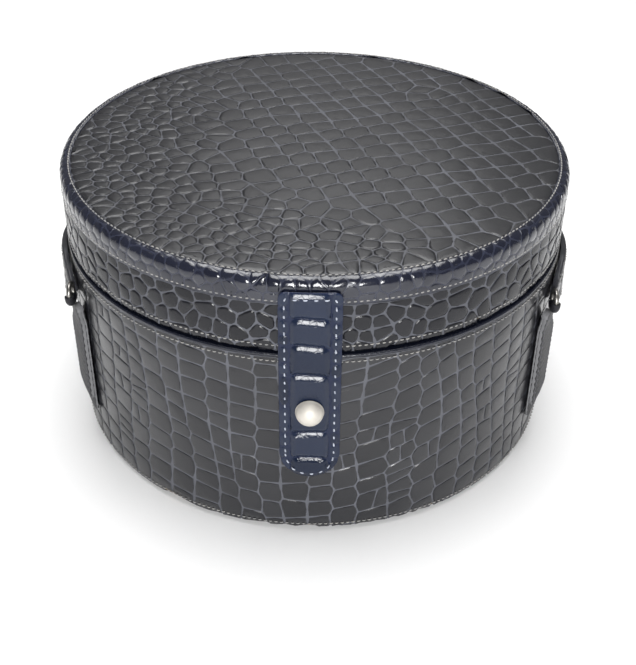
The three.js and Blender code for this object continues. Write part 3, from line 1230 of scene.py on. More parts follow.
@dataclass(frozen=True)
class Stitch:
    """One stitch of a sewn row, in millimetres."""

    length: float = 2.1  # Thread that shows
    width: float = 0.7  # Thread's thickness
    pitch: float = 2.7  # Distance from one stitch to the next
    thread: Thread = THREAD  # Thread's finish
    tall: float = 0.8  # Stitch's height, as a share of its width
    proud: float = 0.18  # How far its middle stands up, as a share of its width
    dive: float = 0.9  # How far its ends sink, as a share of its width

    def model(self) -> tuple[np.ndarray, list[list[int]]]:
        """Models one stitch, lying along X with its ends sunk into the leather.

        Returns:
            Its corners and its faces.
        """
        bpy.ops.object.select_all(action="DESELECT")
        bpy.ops.mesh.primitive_uv_sphere_add(segments=6, ring_count=6, radius=0.5)
        obj = bpy.context.object
        size = (self.length, self.width, self.width * self.tall)
        with edit_mode(obj):
            bpy.ops.transform.rotate(value=math.pi / 2, orient_axis="Y", center_override=(0, 0, 0))
            bpy.ops.transform.resize(value=size, center_override=(0, 0, 0))
        points = corners_of(obj)
        points[:, 2] += self.width * (self.proud - self.dive * (2 * points[:, 0] / self.length) ** 4)
        faces = [list(face.vertices) for face in obj.data.polygons]
        bpy.data.objects.remove(obj)
        return points, faces

    def row(self, name: str, frames: Sequence[Frame], body: Body | None, dice: random.Random) -> Piece:
        """Sews a row: one copy of the stitch at each frame.

        Args:
            name: The row's name.
            frames: Where each stitch sits, which way it runs and which way is out.
            body: The body it rides on, or None where it bends between two.
            dice: The source of small differences between stitches.

        Returns:
            The row as one object, in place.
        """
        shape, faces = self.model()
        points, loops = [], []
        for spot, along, out in frames:
            turn = dice.uniform(0.02, 0.14)
            run = (along.normalized() + turn * out.cross(along).normalized()).normalized()
            side = out.cross(run).normalized()
            axes = np.array([run, side, out.normalized()])
            first = len(points) * len(shape)
            stretch = np.array([dice.uniform(0.88, 1.05), 1.0, dice.uniform(0.9, 1.1)])
            points.append((shape * stretch) @ axes + np.array(spot))
            loops.extend([first + k for k in face] for face in faces)
        obj = new_object(name, [tuple(p) for p in np.vstack(points)], [], loops)
        shade(put(obj), 80)
        return settle(obj, self.thread, Slot.SMOOTH, body)

    def hoop(
        self, name: str, radius: float, height: float, out: Point, body: Body, dice: random.Random
    ) -> None:
        """Sews a full ring of stitches about the box's axis.

        Args:
            name: The row's name.
            radius: How far out the stitches sit.
            height: How high they sit.
            out: The way out of the leather, as (outwards, upwards).
            body: The body it rides on.
            dice: The source of small differences.
        """
        frames = []
        count = int(2 * math.pi * radius / self.pitch)
        for k in range(count):
            spot, along, ray = drum_frame(2 * math.pi * k / count, height, radius, 1.0, 0.0)
            frames.append((spot, along, ray * out[0] + Vector((0, 0, out[1]))))
        self.row(name, frames, body, dice)


# Places on the box


def run_of(line: Sequence[Point] | np.ndarray) -> np.ndarray:
    """Gives how far along a line each of its points lies."""
    return np.concatenate([[0.0], np.cumsum(np.hypot(*np.diff(np.array(line), axis=0).T))])


def steps_along(line: Sequence[Point], spots: np.ndarray, ahead: float = 0.2) -> np.ndarray:
    """Walks along a line, for a row of stitches.

    Args:
        line: The line's points.
        spots: How far along it each stitch sits.
        ahead: How much further on its heading is read.

    Returns:
        A row for each stitch: its place and its heading, each as two numbers.
    """
    run, ways = run_of(line), np.array(line).T
    here, there = (np.column_stack([np.interp(s, run, way) for way in ways]) for s in (spots, spots + ahead))
    return np.hstack([here, there - here])


def drum_frame(angle: float, height: float, radius: float, run: float, climb: float) -> Frame:
    """Places a stitch on the drum.

    Args:
        angle: The way round from the front, in radians.
        height: How high it sits.
        radius: How far out it sits.
        run: How much of its heading goes round the box.
        climb: How much of it goes up.

    Returns:
        Its place, its heading and the way out.
    """
    ray = Vector((math.sin(angle), -math.cos(angle), 0))
    along = Vector((math.cos(angle) * run, math.sin(angle) * run, climb))
    return ray * radius + Vector((0, 0, height)), along, ray


def drum_path(profile: Sequence[Point], start: float) -> Mapping:
    """Wraps a flat sheet round the box along a profile.

    The sheet's first axis runs round the box from the front towards +X, its second
    runs along the profile, and its height stands out of the profile on its right.

    Args:
        profile: Points of (radius, height) that the sheet's underside follows.
        start: The sheet's place, along its second axis, at the first point.

    Returns:
        The mapping from flat to wrapped corners, in millimetres.
    """
    line = np.array(profile)
    length = run_of(line)
    heading = np.diff(line, axis=0) / np.diff(length)[:, None]
    middle = (length[1:] + length[:-1]) / 2

    def wrapped(flat: np.ndarray) -> np.ndarray:
        """Wraps rows of flat corners.

        Args:
            flat: The corners, one in each row.

        Returns:
            Where they go.
        """
        along = flat[:, 1] - start
        radius, height = (np.interp(along, length, line[:, k]) for k in (0, 1))
        run, climb = (np.interp(along, middle, heading[:, k]) for k in (0, 1))
        size = np.hypot(run, climb)
        radius = radius + flat[:, 2] * climb / size
        height = height - flat[:, 2] * run / size
        angle = flat[:, 0] / OUTER_R
        return np.column_stack([radius * np.sin(angle), -radius * np.cos(angle), height])

    return wrapped


def turned_in(
    start_r: float, inner: float, skin_in: float, turn: float, top: float, steps: int
) -> tuple[list[Point], float]:
    """Works out the path of a side leather that is turned in at its lower edge.

    Args:
        start_r: The radius where the leather starts, under the edge.
        inner: The height of its inner face there.
        skin_in: The radius of its inner face on the side.
        turn: The radius of the bend.
        top: Its upper edge.
        steps: How many steps the bend has.

    Returns:
        The path, and the sheet's place at its first point when heights on the side are kept.
    """
    bend = arc((skin_in - turn, inner + turn), turn, -90, 0, steps)
    low = inner + turn - (bend[0][0] - start_r + turn * math.pi / 2)
    return [(start_r, inner), *bend, (skin_in, top)], low


def seamed(mapping: Mapping, relief: Relief, low: float, high: float, reach: float) -> Mapping:
    """Presses a sheet's scales flat towards its sewn edges, before it is put in place.

    Args:
        mapping: Where the sheet goes.
        relief: How it is embossed.
        low: Its lower seam, along its second axis.
        high: Its upper seam.
        reach: How far from a seam the pressing is felt.

    Returns:
        The mapping with the pressing in front.
    """

    def pressed(flat: np.ndarray) -> np.ndarray:
        """Presses and places rows of flat corners.

        Args:
            flat: The corners, one in each row.

        Returns:
            Where they go.
        """
        inside = np.minimum(flat[:, 1] - low, high - flat[:, 1]) / reach
        lift = np.maximum(flat[:, 2] - relief.body, 0) * (0.06 + 0.94 * np.clip(inside, 0, 1) ** 1.3)
        height = np.minimum(flat[:, 2], relief.body) + lift
        return mapping(np.column_stack([flat[:, 0], flat[:, 1], height]))

    return pressed


def round_sheet(
    name: str,
    scales: ScaleMap,
    relief: Relief,
    dice: random.Random,
    path: Sequence[Point],
    limits: Point,
    seam: float,
    reach: float,
) -> Piece:
    """Embosses a sheet, wraps it right round the box and closes its ends.

    Args:
        name: The object's name.
        scales: The map of scales, which repeats round the box.
        relief: How the sheet is embossed.
        dice: The source of chance for each scale's tone.
        path: The profile that the sheet's underside follows.
        limits: The sheet's lower and upper edge, along its second axis.
        seam: Where its lower seam lies.
        reach: How far from a seam the scales are pressed flat.

    Returns:
        The sheet, in metres.
    """
    low, high = limits
    band = [(-GIRTH, low), (GIRTH, low), (GIRTH, high), (-GIRTH, high)]
    obj = press(name, scales.clipped(band), relief, dice, limits)
    put(obj, seamed(drum_path(path, low), relief, seam, high, reach))
    tidy(obj, 0.03 * MM)
    shade(obj)
    return obj


def settle(obj: Piece, finish: Finish, slot: Slot, body: Body | None, *nodes: str) -> Piece:
    """Dresses a finished piece, hides the solids it stands for and lets it ride.

    Args:
        obj: The piece, in place and in metres.
        finish: Its finish.
        slot: The record's material slot; not used.
        body: The body it rides on, or None where it bends between two.
        *nodes: The solids that it stands for.

    Returns:
        The piece.
    """
    finish.dress(obj)
    if nodes:
        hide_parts(*nodes)
    if body is not None:
        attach(obj, body.value)
    LOG.info("%s: %d faces", obj.name, len(obj.data.polygons))
    return obj


@dataclass
class BaseShell:
    """The drum of the base: embossed side, rolled rim, bottom and its rows of stitches."""

    skin_in: float = 126.2  # Radius under the side leather
    top: float = 104.2  # Upper edge of the side leather
    foot: float = 0.5  # Height of the turned-under leather's lower face
    turn: float = 2.2  # Radius of the bottom corner
    cover_r: float = 117.6  # Radius of the bottom cover
    rim_low: float = 104.5  # Lower face of the rolled rim
    rim_high: float = 106.3  # Top of the rolled rim
    rim_in: float = 122.2  # Radius of its inside
    columns: int = 66  # How many columns of scales go round
    top_row: float = 102.4  # Height of the upper row of stitches
    foot_row: float = 4.2  # Height of the lower row
    dice: random.Random = seeded(11)  # Source of chance

    def scales(self, low: float) -> ScaleMap:
        """Lays out the side's columns of scales.

        Args:
            low: Where the sheet starts under the box.

        Returns:
            The map of scales.
        """
        dice = self.dice
        pitch = GIRTH / self.columns
        lines = [-GIRTH / 2 + pitch * (i + dice.uniform(-0.16, 0.16)) for i in range(self.columns)]
        turns = 2 * math.pi / self.columns

        def wave(i: int, v: float) -> float:
            """Strays slowly along a line, and much alike on its neighbours.

            Args:
                i: The line's number.
                v: The way along it.

            Returns:
                How far it strays.
            """
            slow = 2.0 * math.sin(v / 31 + 5 * turns * i) + 1.1 * math.sin(v / 14 + 1.3 + 11 * turns * i)
            lean = 5.0 * math.exp(-(((i * turns - math.pi - 0.62) / 0.3) ** 2)) * (v - 55) / 50
            return slow - lean

        def wild(u: float, v: float) -> float:
            """Says how broken the pattern is at a place."""
            return 0.75 * math.exp(-(((u - 46) / 20) ** 2) - ((v - 40) / 26) ** 2) + 0.05

        plan = ColumnPlan(
            lines=lines,
            wave=wave,
            low=low - 14,
            high=self.top + 4,
            step=lambda u, v: 11.6 - 0.022 * v,
            kink=lambda u, v: 0.5 + 0.9 * wild(u, v),
            slant=lambda u, v: 1.6 * math.sin(u / 60) + 2.4 * math.exp(-(((u - 30) / 40) ** 2)),
            period=GIRTH,
        )
        return plan.lay(dice).split(wild, dice)

    def side(self) -> None:
        """Builds the embossed side, turned under the bottom edge."""
        inner, turn = self.foot + LEATHER, self.turn - LEATHER
        path, low = turned_in(self.cover_r + 0.6, inner, self.skin_in, turn, self.top, 6)
        limits, seam = (low, self.top), self.foot + 1.5
        obj = round_sheet("base_side_croc", self.scales(low), Relief(), self.dice, path, limits, seam, 6.0)
        settle(obj, CROC, Slot.CROC, Body.BASE, "base_side_leather")

    def rim(self) -> None:
        """Builds the rolled rim that closes the base's upper edge."""
        round_r = (self.rim_high - self.rim_low) / 2
        middle = self.rim_low + round_r
        profile = [
            *arc((OUTER_R - round_r + 0.1, middle), round_r, -90, 90, 10),
            *arc((self.rim_in + round_r, middle), round_r, 90, 270, 10),
        ]
        obj = put(turned("base_rim_roll", profile, 240))
        settle(obj, ROLLED_LEATHER, Slot.SMOOTH, Body.BASE, "base_rim_binding")

    def cover(self) -> None:
        """Builds the bottom cover, pressed in a little and rounded at its edge."""
        edge_r, back = 0.5, 1.45
        hollow = [(0, 0.35), (60, 0.3), (104, 0.15), (110, 0.0)]
        edge = arc((self.cover_r - edge_r, edge_r), edge_r, -90, 90, 6)
        profile = [*hollow, *edge[:-1], (self.cover_r - 0.6, back), (0, back)]
        obj = put(turned("base_bottom_sheet", profile, 180))
        settle(obj, COVER_LEATHER, Slot.SMOOTH, Body.BASE, "base_bottom_cover")

    def build(self) -> None:
        """Builds the base's outside."""
        self.side()
        self.rim()
        self.cover()
        for name, height in (("base_top_stitches", self.top_row), ("base_foot_stitches", self.foot_row)):
            Stitch().hoop(name, STITCH_R, height, (1, 0), Body.BASE, self.dice)


@dataclass
class LidShell:
    """The lid: embossed top and side, bound edge and its rows of stitches."""

    low: float = 106.7  # Lid's lower edge
    band: float = 132.3  # Upper edge of the side leather
    skin_in: float = 126.2  # Radius under the side leather
    turn: float = 0.4  # Radius of the side leather's bend at its lower edge
    turn_in: float = 123.9  # Radius that the side leather is turned in to
    top: float = 144.6  # Top of the embossed panel
    panel_r: float = 122.0  # Panel's radius
    edge_r: float = 4.6  # Radius of the rounded upper edge
    high: float = HEIGHT  # Top of the binding
    tilt: float = 18.0  # How far the panel's rows of scales turn, in degrees
    low_row: float = 110.9  # Height of the lower row of stitches
    dice: random.Random = seeded(23)  # Source of chance

    def side(self) -> None:
        """Builds the embossed side, turned in under the lower edge."""
        path, low = turned_in(self.turn_in, self.low + LEATHER, self.skin_in, self.turn, self.band, 5)

        def pitch(u: float, v: float) -> float:
            """Gives the mean size of a scale, finer beside the strap."""
            return 9.6 - 2.6 * math.exp(-(((u - 22) / 26) ** 2)) + 1.2 * math.sin(u / 47)

        scales = grown_map(scattered(GIRTH, low - 12, self.band + 12, pitch, self.dice, 0.28), GIRTH)
        relief = Relief(groove=0.13, shoulder=0.42, pillow=1.6, crisp=0.45)
        limits, seam = (low, self.band), self.low + 1.0
        obj = round_sheet("lid_side_croc", scales, relief, self.dice, path, limits, seam, 4.5)
        settle(obj, CROC_SIDE, Slot.CROC, Body.LID, "lid_side_leather")

    def fine(self, u: float | np.ndarray, v: float | np.ndarray) -> float | np.ndarray:
        """Says how small the panel's scales are at places in plan, from 0 to 1.

        Args:
            u: The places' first parts.
            v: Their second parts.

        Returns:
            The share at each place.
        """
        left = 1 / (1 + np.exp((u + 50) / 13))
        front = 1 / (1 + np.exp((v + 62 + 0.5 * u) / 11))
        back = 0.6 * np.exp(-(((u - 62) / 22) ** 2) - ((v - 66) / 18) ** 2)
        return np.maximum(np.maximum(left, front), back)

    def panel_scales(self) -> ScaleMap:
        """Lays out the panel's rows, finer and rounder towards the left and the front.

        Returns:
            The map of scales in plan.
        """
        dice, fine = self.dice, self.fine
        reach, wide, deep = self.panel_r + 16, 12.6, 11.6

        def free(u: float, v: float) -> bool:
            """Says whether a scale may start at a place, which leaves no slivers at the rim."""
            out = math.hypot(u, v)
            return out < self.panel_r - 2.6 or self.panel_r + 4.5 < out < reach

        turn = math.radians(self.tilt)
        steps = [-1.6 * reach]
        while steps[-1] < 1.6 * reach:
            steps.append(steps[-1] + wide * dice.uniform(0.82, 1.18))
        seeds: list[Point] = []
        back, row = -1.4 * reach, 0
        while back < 1.4 * reach:
            for step in steps:
                s = step - 1.6 * row + dice.uniform(-0.9, 0.9)
                t = back + 2.4 * math.sin(s / 41 + 0.2 * row) + dice.uniform(-0.5, 0.5)
                u = s * math.cos(turn) - t * math.sin(turn)
                v = s * math.sin(turn) + t * math.cos(turn)
                if free(u, v) and fine(u, v) < 0.42:
                    seeds.append((u, v))
            back += deep * dice.uniform(0.84, 1.16)
            row += 1
        taken = np.array(seeds)
        for _ in range(14000):
            u, v = dice.uniform(-reach, reach), dice.uniform(-reach, reach)
            share = fine(u, v)
            if share <= 0.36 or not free(u, v):
                continue
            if np.min(np.hypot((taken[:, 0] - u) * 0.76, taken[:, 1] - v)) > 4.7 + 6.0 * (1 - share):
                taken = np.vstack([taken, (u, v)])

        def looser(u: float, v: float) -> float:
            """Joins corners from further apart among the large scales, and hardly at the rim."""
            return 2.7 - 1.8 * fine(u, v) if math.hypot(u, v) < self.panel_r - 5 else 0.7

        scales = grown_map([(float(u), float(v)) for u, v in taken])
        scales.looser = looser
        return scales.clipped(arc((0, 0), self.panel_r, 0, 357, 119))

    def panel(self) -> None:
        """Builds the embossed top panel, gently crowned over its padding."""
        relief = Relief(groove=0.09, shoulder=0.34, rise=0.16, crown=0.11, pillow=2.0)
        obj = press("lid_top_croc", self.panel_scales(), relief, self.dice)

        def crowned(flat: np.ndarray) -> np.ndarray:
            """Lifts the middle and draws the rim down to the binding.

            Args:
                flat: The corners, one in each row.

            Returns:
                Where they go.
            """
            out = np.hypot(flat[:, 0], flat[:, 1]) / self.panel_r
            lift = 0.35 * (1 - out**2) - 0.35 * np.clip((out - 0.96) / 0.04, 0, 1) ** 2
            embossed = np.maximum(flat[:, 2] - relief.body, 0) * 0.8 * self.fine(flat[:, 0], flat[:, 1])
            height = self.top - relief.body - relief.height + flat[:, 2] + embossed + lift
            return np.column_stack([flat[:, 0], flat[:, 1], height])

        put(obj, crowned)
        shade(obj)
        settle(obj, SHADED_CROC_TOP, Slot.CROC, Body.LID, "lid_top_leather")

    def binding(self) -> None:
        """Builds the bound edge: embossed leather drawn over the lid's upper corner."""
        depth = 1.4
        centre = (OUTER_R - self.edge_r, self.high - self.edge_r)
        start = (OUTER_R - depth, self.band + 0.3)
        stop = (self.panel_r + 0.3, self.high - depth - 0.3)
        path = [start, *arc(centre, self.edge_r - depth, 0, 90, 10), stop]
        length = float(run_of(path)[-1])
        scales = grown_map(scattered(GIRTH, -10.0, length + 10, lambda u, v: 6.6, self.dice), GIRTH)
        relief = Relief(body=1.2, groove=0.14, shoulder=0.6, rise=0.12, crown=0.08, pillow=1.4)
        obj = round_sheet("lid_edge_bound", scales, relief, self.dice, path, (0.0, length), 0.0, 2.5)
        settle(obj, CROC_BINDING, Slot.SMOOTH, Body.LID, "lid_edge_binding")

    def build(self) -> None:
        """Builds the lid's outside."""
        self.side()
        self.panel()
        self.binding()
        for name, radius, height, out in (
            ("lid_top_stitches", self.panel_r + 0.9, self.high - 0.12, (0, 1)),
            ("lid_edge_stitches", OUTER_R - 0.2, self.band + 1.7, (1, 0)),
            ("lid_low_stitches", STITCH_R, self.low_row, (1, 0)),
        ):
            Stitch().hoop(name, radius, height, out, Body.LID, self.dice)


@dataclass
class ClosureStrap:
    """The front strap that snaps the lid shut, and its snap."""

    width: float = 27.6  # Strap's width
    thick: float = 3.2  # Its thickness
    high: float = 140.2  # Its sewn upper end
    low: float = 37.3  # Tip of its free end
    fold: float = 109.6  # Where it bends when it opens
    snap_z: float = 78.4  # Height of the snap
    creases: tuple[float, ...] = (127.0, 113.0, 97.0, 64.4, 49.3)  # Heights of the deep grooves across it
    inner: float = 8.8  # Half the width of its broad column of scales
    corner: float = 3.5  # Radius of the corners at its upper end
    margin: float = 2.9  # How far its row of stitches runs inside its edge
    fold_y: float = -0.131  # Where the fold's axis stands, in metres
    fold_half: float = 4.5  # Half the length over which it bends
    cap_r: float = 6.3  # Radius of the snap's dome
    cap_high: float = 5.8  # Height of the dome
    flange_r: float = 5.9  # Radius where the cap's rolled edge starts
    post_r: float = 1.8  # Radius of the post behind the cap
    dice: random.Random = seeded(37)  # Source of chance

    def outline(self, inset: float) -> list[Point]:
        """Gives the strap's outline, some way inside its edge.

        Args:
            inset: How far inside.

        Returns:
            The outline, anticlockwise from the tip's left.
        """
        half = self.width / 2
        tip = arc((0, self.low + half), half - inset, 180, 360, 16)
        bend, shift = self.corner - 0.6 * inset, self.corner + 0.4 * inset
        right = arc((half - shift, self.high - shift), bend, 0, 90, 5)
        left = arc((shift - half, self.high - shift), bend, 90, 180, 5)
        return [*tip, *right, *left]

    def scales(self) -> ScaleMap:
        """Lays out the strap's scales: one broad column between two narrow ones.

        Returns:
            The map of scales.
        """
        half, inner = self.width / 2 + 3, self.inner
        dice = self.dice
        lines = []
        for level in [self.low - 6, *sorted(self.creases), self.high]:
            loose = 0.0 if level == self.high else 1.0
            tilt = loose * dice.uniform(-0.9, 0.9)
            ends = [(-1.0, -dice.uniform(0.3, 2.2)), (-dice.uniform(0.55, 0.9), 0.0)]
            ends += [(k, dice.uniform(-0.3, 0.3)) for k in (-0.25, 0.25)]
            ends += [(dice.uniform(0.55, 0.9), 0.0), (1.0, -dice.uniform(0.3, 2.2))]
            lines.append([(inner * k, level + k * tilt + loose * dip) for k, dip in ends])
        cells = []
        for lower, upper in zip(lines, lines[1:]):
            cells.append([*lower, *upper[::-1]])
            for sign, end in ((-1, 0), (1, -1)):
                middle = (lower[end][1] + upper[end][1]) / 2 + dice.uniform(-2, 2)
                for a, b in ((lower[end][1], middle), (middle, upper[end][1])):
                    near, far = sign * inner, sign * half
                    lean = dice.uniform(-0.5, 0.5)
                    loop = [(near, a), (far, a + lean), (far, b + lean), (near, b)]
                    cells.append(loop if sign > 0 else loop[::-1])
        return ScaleMap(cells, reach=1.2).clipped(self.outline(0.0))

    def strap(self) -> Piece:
        """Builds the strap as one bent piece of padded leather.

        Returns:
            The strap.
        """
        relief = Relief(
            body=1.5, groove=0.1, shoulder=2.2, rise=1.3, pillow=3.0, crown=0.3, crisp=0.12, levels=2
        )
        obj = press("closure_strap", self.scales(), relief, self.dice)
        path = drum_path([(FACING, self.low - 10), (FACING, self.high + 10)], self.low - 10)

        def lowered(flat: np.ndarray) -> np.ndarray:
            """Keeps the narrow columns lower than the broad one, and wraps the strap.

            Args:
                flat: The corners, one in each row.

            Returns:
                Where they go.
            """
            share = np.where(np.abs(flat[:, 0]) > self.inner, 0.4, 1.0)
            height = np.minimum(flat[:, 2], relief.body) + share * np.maximum(flat[:, 2] - relief.body, 0)
            return path(np.column_stack([flat[:, 0], flat[:, 1], height]))

        put(obj, lowered)
        shade(obj)
        return settle(obj, STRAP_LEATHER, Slot.SMOOTH, None, "closure_strap_anchor", "closure_strap_flap")

    def stitches(self) -> Piece:
        """Sews the row that runs round the strap inside its edge.

        Returns:
            The row.
        """
        line = self.outline(self.margin)
        line = [*line, line[0]]
        stitch = Stitch(length=2.4, width=0.8, pitch=4.4, thread=BLUE_THREAD)
        on_edge, on_middle = FACING + 1.95, FACING + 2.9
        frames = []
        for u, v, run, climb in steps_along(line, np.arange(0.5, run_of(line)[-1], stitch.pitch)):
            radius = on_edge if abs(u) > self.inner else on_middle
            frames.append(drum_frame(u / OUTER_R, v, radius, run, climb))
        return stitch.row("closure_strap_stitches", frames, None, self.dice)

    def cap(self) -> None:
        """Builds the snap's domed cap with its rolled edge and its post."""
        foot = FACING + self.thick + 0.3
        post, roll_r, dome_foot = foot - 1.6, 0.6, foot + 0.9
        dome = arc((0, 0), 1.0, 6, 90, 17)
        profile = [
            (0, post),
            (self.post_r, post),
            (self.post_r, foot),
            (self.flange_r, foot),
            *arc((self.flange_r, foot + roll_r), roll_r, -90, 50, 6),
            *[(self.cap_r * across, dome_foot + self.cap_high * up) for across, up in dome[:-1]],
            (0, dome_foot + self.cap_high),
        ]
        obj = turned("snap_dome", profile, 64)

        def outwards(flat: np.ndarray) -> np.ndarray:
            """Lays the cap's axis towards the front."""
            return np.column_stack([flat[:, 0], -flat[:, 2], flat[:, 1] + self.snap_z])

        put(obj, outwards)
        tidy(obj, 0.002 * MM)
        shade(obj, 40)
        settle(obj, NICKEL, Slot.NICKEL, Body.STRAP, "snap_cap")

    def build(self) -> None:
        """Builds the strap, its stitches and its snap."""
        upper, lower = ((0, self.fold_y, (self.fold + k * self.fold_half) * MM) for k in (1, -1))
        for obj in (self.strap(), self.stitches()):
            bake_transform(obj, Body.LID.value, Body.STRAP.value, start=upper, end=lower)
        self.cap()


@dataclass
class RearHinge:
    """The leather strip at the back that the lid turns on."""

    half_angle: float = 11.3  # Half the strip's reach round the box, in degrees
    thick: float = 1.5  # Its thickness
    low: float = 86.0  # Its lower edge on the base
    high: float = 128.0  # Its upper edge on the lid
    line: float = 106.75  # Height that it bends at
    corner: float = 4.0  # Radius of its corners
    margin: float = 3.0  # How far its row of stitches runs inside its edge
    bend_y: float = 0.1285  # Where it bends, in metres
    bend_half: float = 4.0  # Half the length over which it bends
    dice: random.Random = seeded(41)  # Source of chance

    @property
    def width(self) -> float:
        """Gives the strip's width round the box."""
        return 2 * math.radians(self.half_angle) * OUTER_R

    def strip(self) -> Piece:
        """Builds the strip, wrapped on the back of the box.

        Returns:
            The strip.
        """
        seeds = scattered(self.width + 20, self.low - 10, self.high + 10, lambda u, v: 6.5, self.dice)
        scales = grown_map(seeds).clipped(rounded_box(self.width, self.low, self.high, self.corner))
        relief = Relief(body=1.15, groove=0.22, shoulder=0.45, rise=0.2, crown=0.12, pillow=1.1)
        obj = press("hinge_strip", scales, relief, self.dice)
        to_back = np.array([-1.0, -1.0, 1.0])
        path = drum_path([(FACING, self.low - 5), (FACING, self.high + 5)], self.low - 5)
        put(obj, lambda flat: path(flat) * to_back)
        shade(obj)
        return settle(obj, CROC_BINDING, Slot.SMOOTH, None, "hinge_leather_base", "hinge_leather_lid")

    def stitches(self) -> Piece:
        """Sews the row that runs round the strip inside its edge.

        Returns:
            The row.
        """
        low, high = self.low + self.margin, self.high - self.margin
        line = rounded_box(self.width - 2 * self.margin, low, high, self.corner / 2)
        line = [*line, line[0]]
        radius = FACING + self.thick - 0.1
        frames = []
        for u, v, run, climb in steps_along(line, np.arange(0.0, run_of(line)[-1] - 1, 2.75)):
            frames.append(drum_frame(math.pi + u / OUTER_R, v, radius, run, climb))
        return Stitch().row("hinge_stitches", frames, None, self.dice)

    def build(self) -> None:
        """Builds the strip and its stitches, bent between base and lid."""
        lower, upper = ((0, self.bend_y, (self.line + k * self.bend_half) * MM) for k in (-1, 1))
        for obj in (self.strip(), self.stitches()):
            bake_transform(obj, Body.BASE.value, Body.LID.value, start=lower, end=upper)


@dataclass
class CarryHandle:
    """The carry handle: a strap round the back, its rings and its sewn lugs."""

    ring: Place = (118.4, -60.0, 92.5)  # Where the right ring hangs, as x, y and z
    ring_r: float = 4.5  # Ring's radius
    wire_r: float = 1.2  # Radius of its wire
    sleeve_r: float = 2.2  # Outer radius of the leather sleeves on it
    sleeve_half: float = 32.0  # Half the angle that a sleeve covers
    width: float = 25.5  # Strap's width
    thick: float = 3.4  # Its thickness
    off: float = 1.2  # How far it stands off the box
    drop: float = 8.0  # How far it hangs down at the back, in degrees
    taper: float = 24.0  # Length over which it narrows to a ring
    lug_mid: float = 65.7  # Middle of a lug, in degrees from the front
    lug_half: float = 5.7  # Half of its reach, in degrees
    lug_low: Point = (21.0, 29.0)  # Lower ends of its inner and outer layer
    lug_cut: Point = (-5.6, 66.1)  # Where its slanted edge ends, across at the top and up at the side
    layer: float = 1.8  # Thickness of each of its two layers
    lap: float = 1.4  # How far the outer layer's edge covers the inner layer's
    flare_from: float = 76.0  # Height where its top starts to flare out
    flare_over: float = 7.8  # Height that the flare takes
    flare_out: float = 1.2  # How far it flares
    dice: random.Random = seeded(53)  # Source of chance

    def torus(self, name: str, bar: float, start: float, stop: float) -> Piece:
        """Spins a round bar about the ring's axis, in millimetres about its centre.

        Args:
            name: The object's name.
            bar: The bar's radius.
            start: The first angle, from the back of the box upwards.
            stop: The last angle.

        Returns:
            The bar, with its ends closed where it doesn't meet itself.
        """
        bpy.ops.object.select_all(action="DESELECT")
        bpy.ops.mesh.primitive_circle_add(vertices=20, radius=bar, fill_type="NGON", location=(0, 0, 0))
        obj = bpy.context.object
        obj.name = obj.data.name = name
        sweep, a = math.radians(stop - start), math.radians(start)
        flat = corners_of(obj)
        out = flat[:, 1] + self.ring_r
        flat = np.column_stack([flat[:, 0], out * math.cos(a), out * math.sin(a)])
        obj.data.vertices.foreach_set("co", flat.astype(np.float32).ravel())
        with edit_mode(obj):
            if sweep > math.radians(359):
                bpy.ops.mesh.delete(type="ONLY_FACE")
                bpy.ops.mesh.select_all(action="SELECT")
            steps = max(8, int((stop - start) / 5))
            bpy.ops.mesh.spin(steps=steps, angle=sweep, center=(0, 0, 0), axis=(1, 0, 0))
        tidy(obj, 0.002)
        return obj

    def shifted(self, obj: Piece, side: Side, turn: float = 0.0) -> Piece:
        """Takes a ring's piece from its own centre to its side of the box.

        Args:
            obj: The piece, in millimetres about the ring's centre.
            side: The side of the box.
            turn: How far it turns about the ring's axis first, in degrees.

        Returns:
            The piece, in metres.
        """
        place = np.array(self.ring) * (side.value, 1, 1)
        spin = np.array(Matrix.Rotation(math.radians(turn), 3, "X"))
        return put(obj, lambda flat: flat @ spin.T + place)

    def line(self) -> np.ndarray:
        """Gives the strap's inner face in plan, from the right ring round to the left.

        Returns:
            Points of x and y seen from the strap's pivot, in millimetres.
        """
        points = []
        for y in np.arange(self.ring_r + 0.5, -self.ring[1], 5):
            points.append((math.sqrt(OUTER_R**2 - (y + self.ring[1]) ** 2) + self.off, y))
        for k in range(37):
            a = math.radians(2.5 * k)
            reach = math.hypot(OUTER_R * math.sin(a) - self.ring[1], HEIGHT - self.ring[2])
            points.append(((OUTER_R + self.off) * math.cos(a), reach + self.off))
        left = [(-x, y) for x, y in reversed(points[:-1])]
        return np.array(points + left)

    def strap_map(self) -> tuple[Mapping, float]:
        """Works out how the flat strap bends round the back.

        Returns:
            The mapping, and the strap's length.
        """
        line = self.line()
        length = run_of(line)
        ways = np.gradient(line, length, axis=0)
        spin = np.array(Matrix.Rotation(math.radians(-self.drop), 3, "X"))
        pivot = np.array([0.0, self.ring[1], self.ring[2]])

        def bent(flat: np.ndarray) -> np.ndarray:
            """Bends rows of flat corners.

            Args:
                flat: The corners, one in each row.

            Returns:
                Where they go.
            """
            along = flat[:, 0]
            spots = np.column_stack([np.interp(along, length, line[:, k]) for k in (0, 1)])
            heads = np.column_stack([np.interp(along, length, ways[:, k]) for k in (0, 1)])
            heads /= np.hypot(heads[:, 0], heads[:, 1])[:, None]
            x = spots[:, 0] + heads[:, 1] * flat[:, 2]
            y = spots[:, 1] - heads[:, 0] * flat[:, 2]
            return np.column_stack([x, y, flat[:, 1]]) @ spin.T + pivot

        return bent, float(length[-1])

    def strap_outline(self, length: float, inset: float) -> list[Point]:
        """Gives the flat strap's outline, narrowed at both ends.

        Args:
            length: The strap's length.
            inset: How far inside its edge.

        Returns:
            The outline, anticlockwise.
        """
        half, end = self.width / 2 - inset, 3.0 - inset * 0.5
        lower = [(inset, -end), (self.taper, -half), (length - self.taper, -half), (length - inset, -end)]
        return [*lower, *[(u, -v) for u, v in reversed(lower)]]

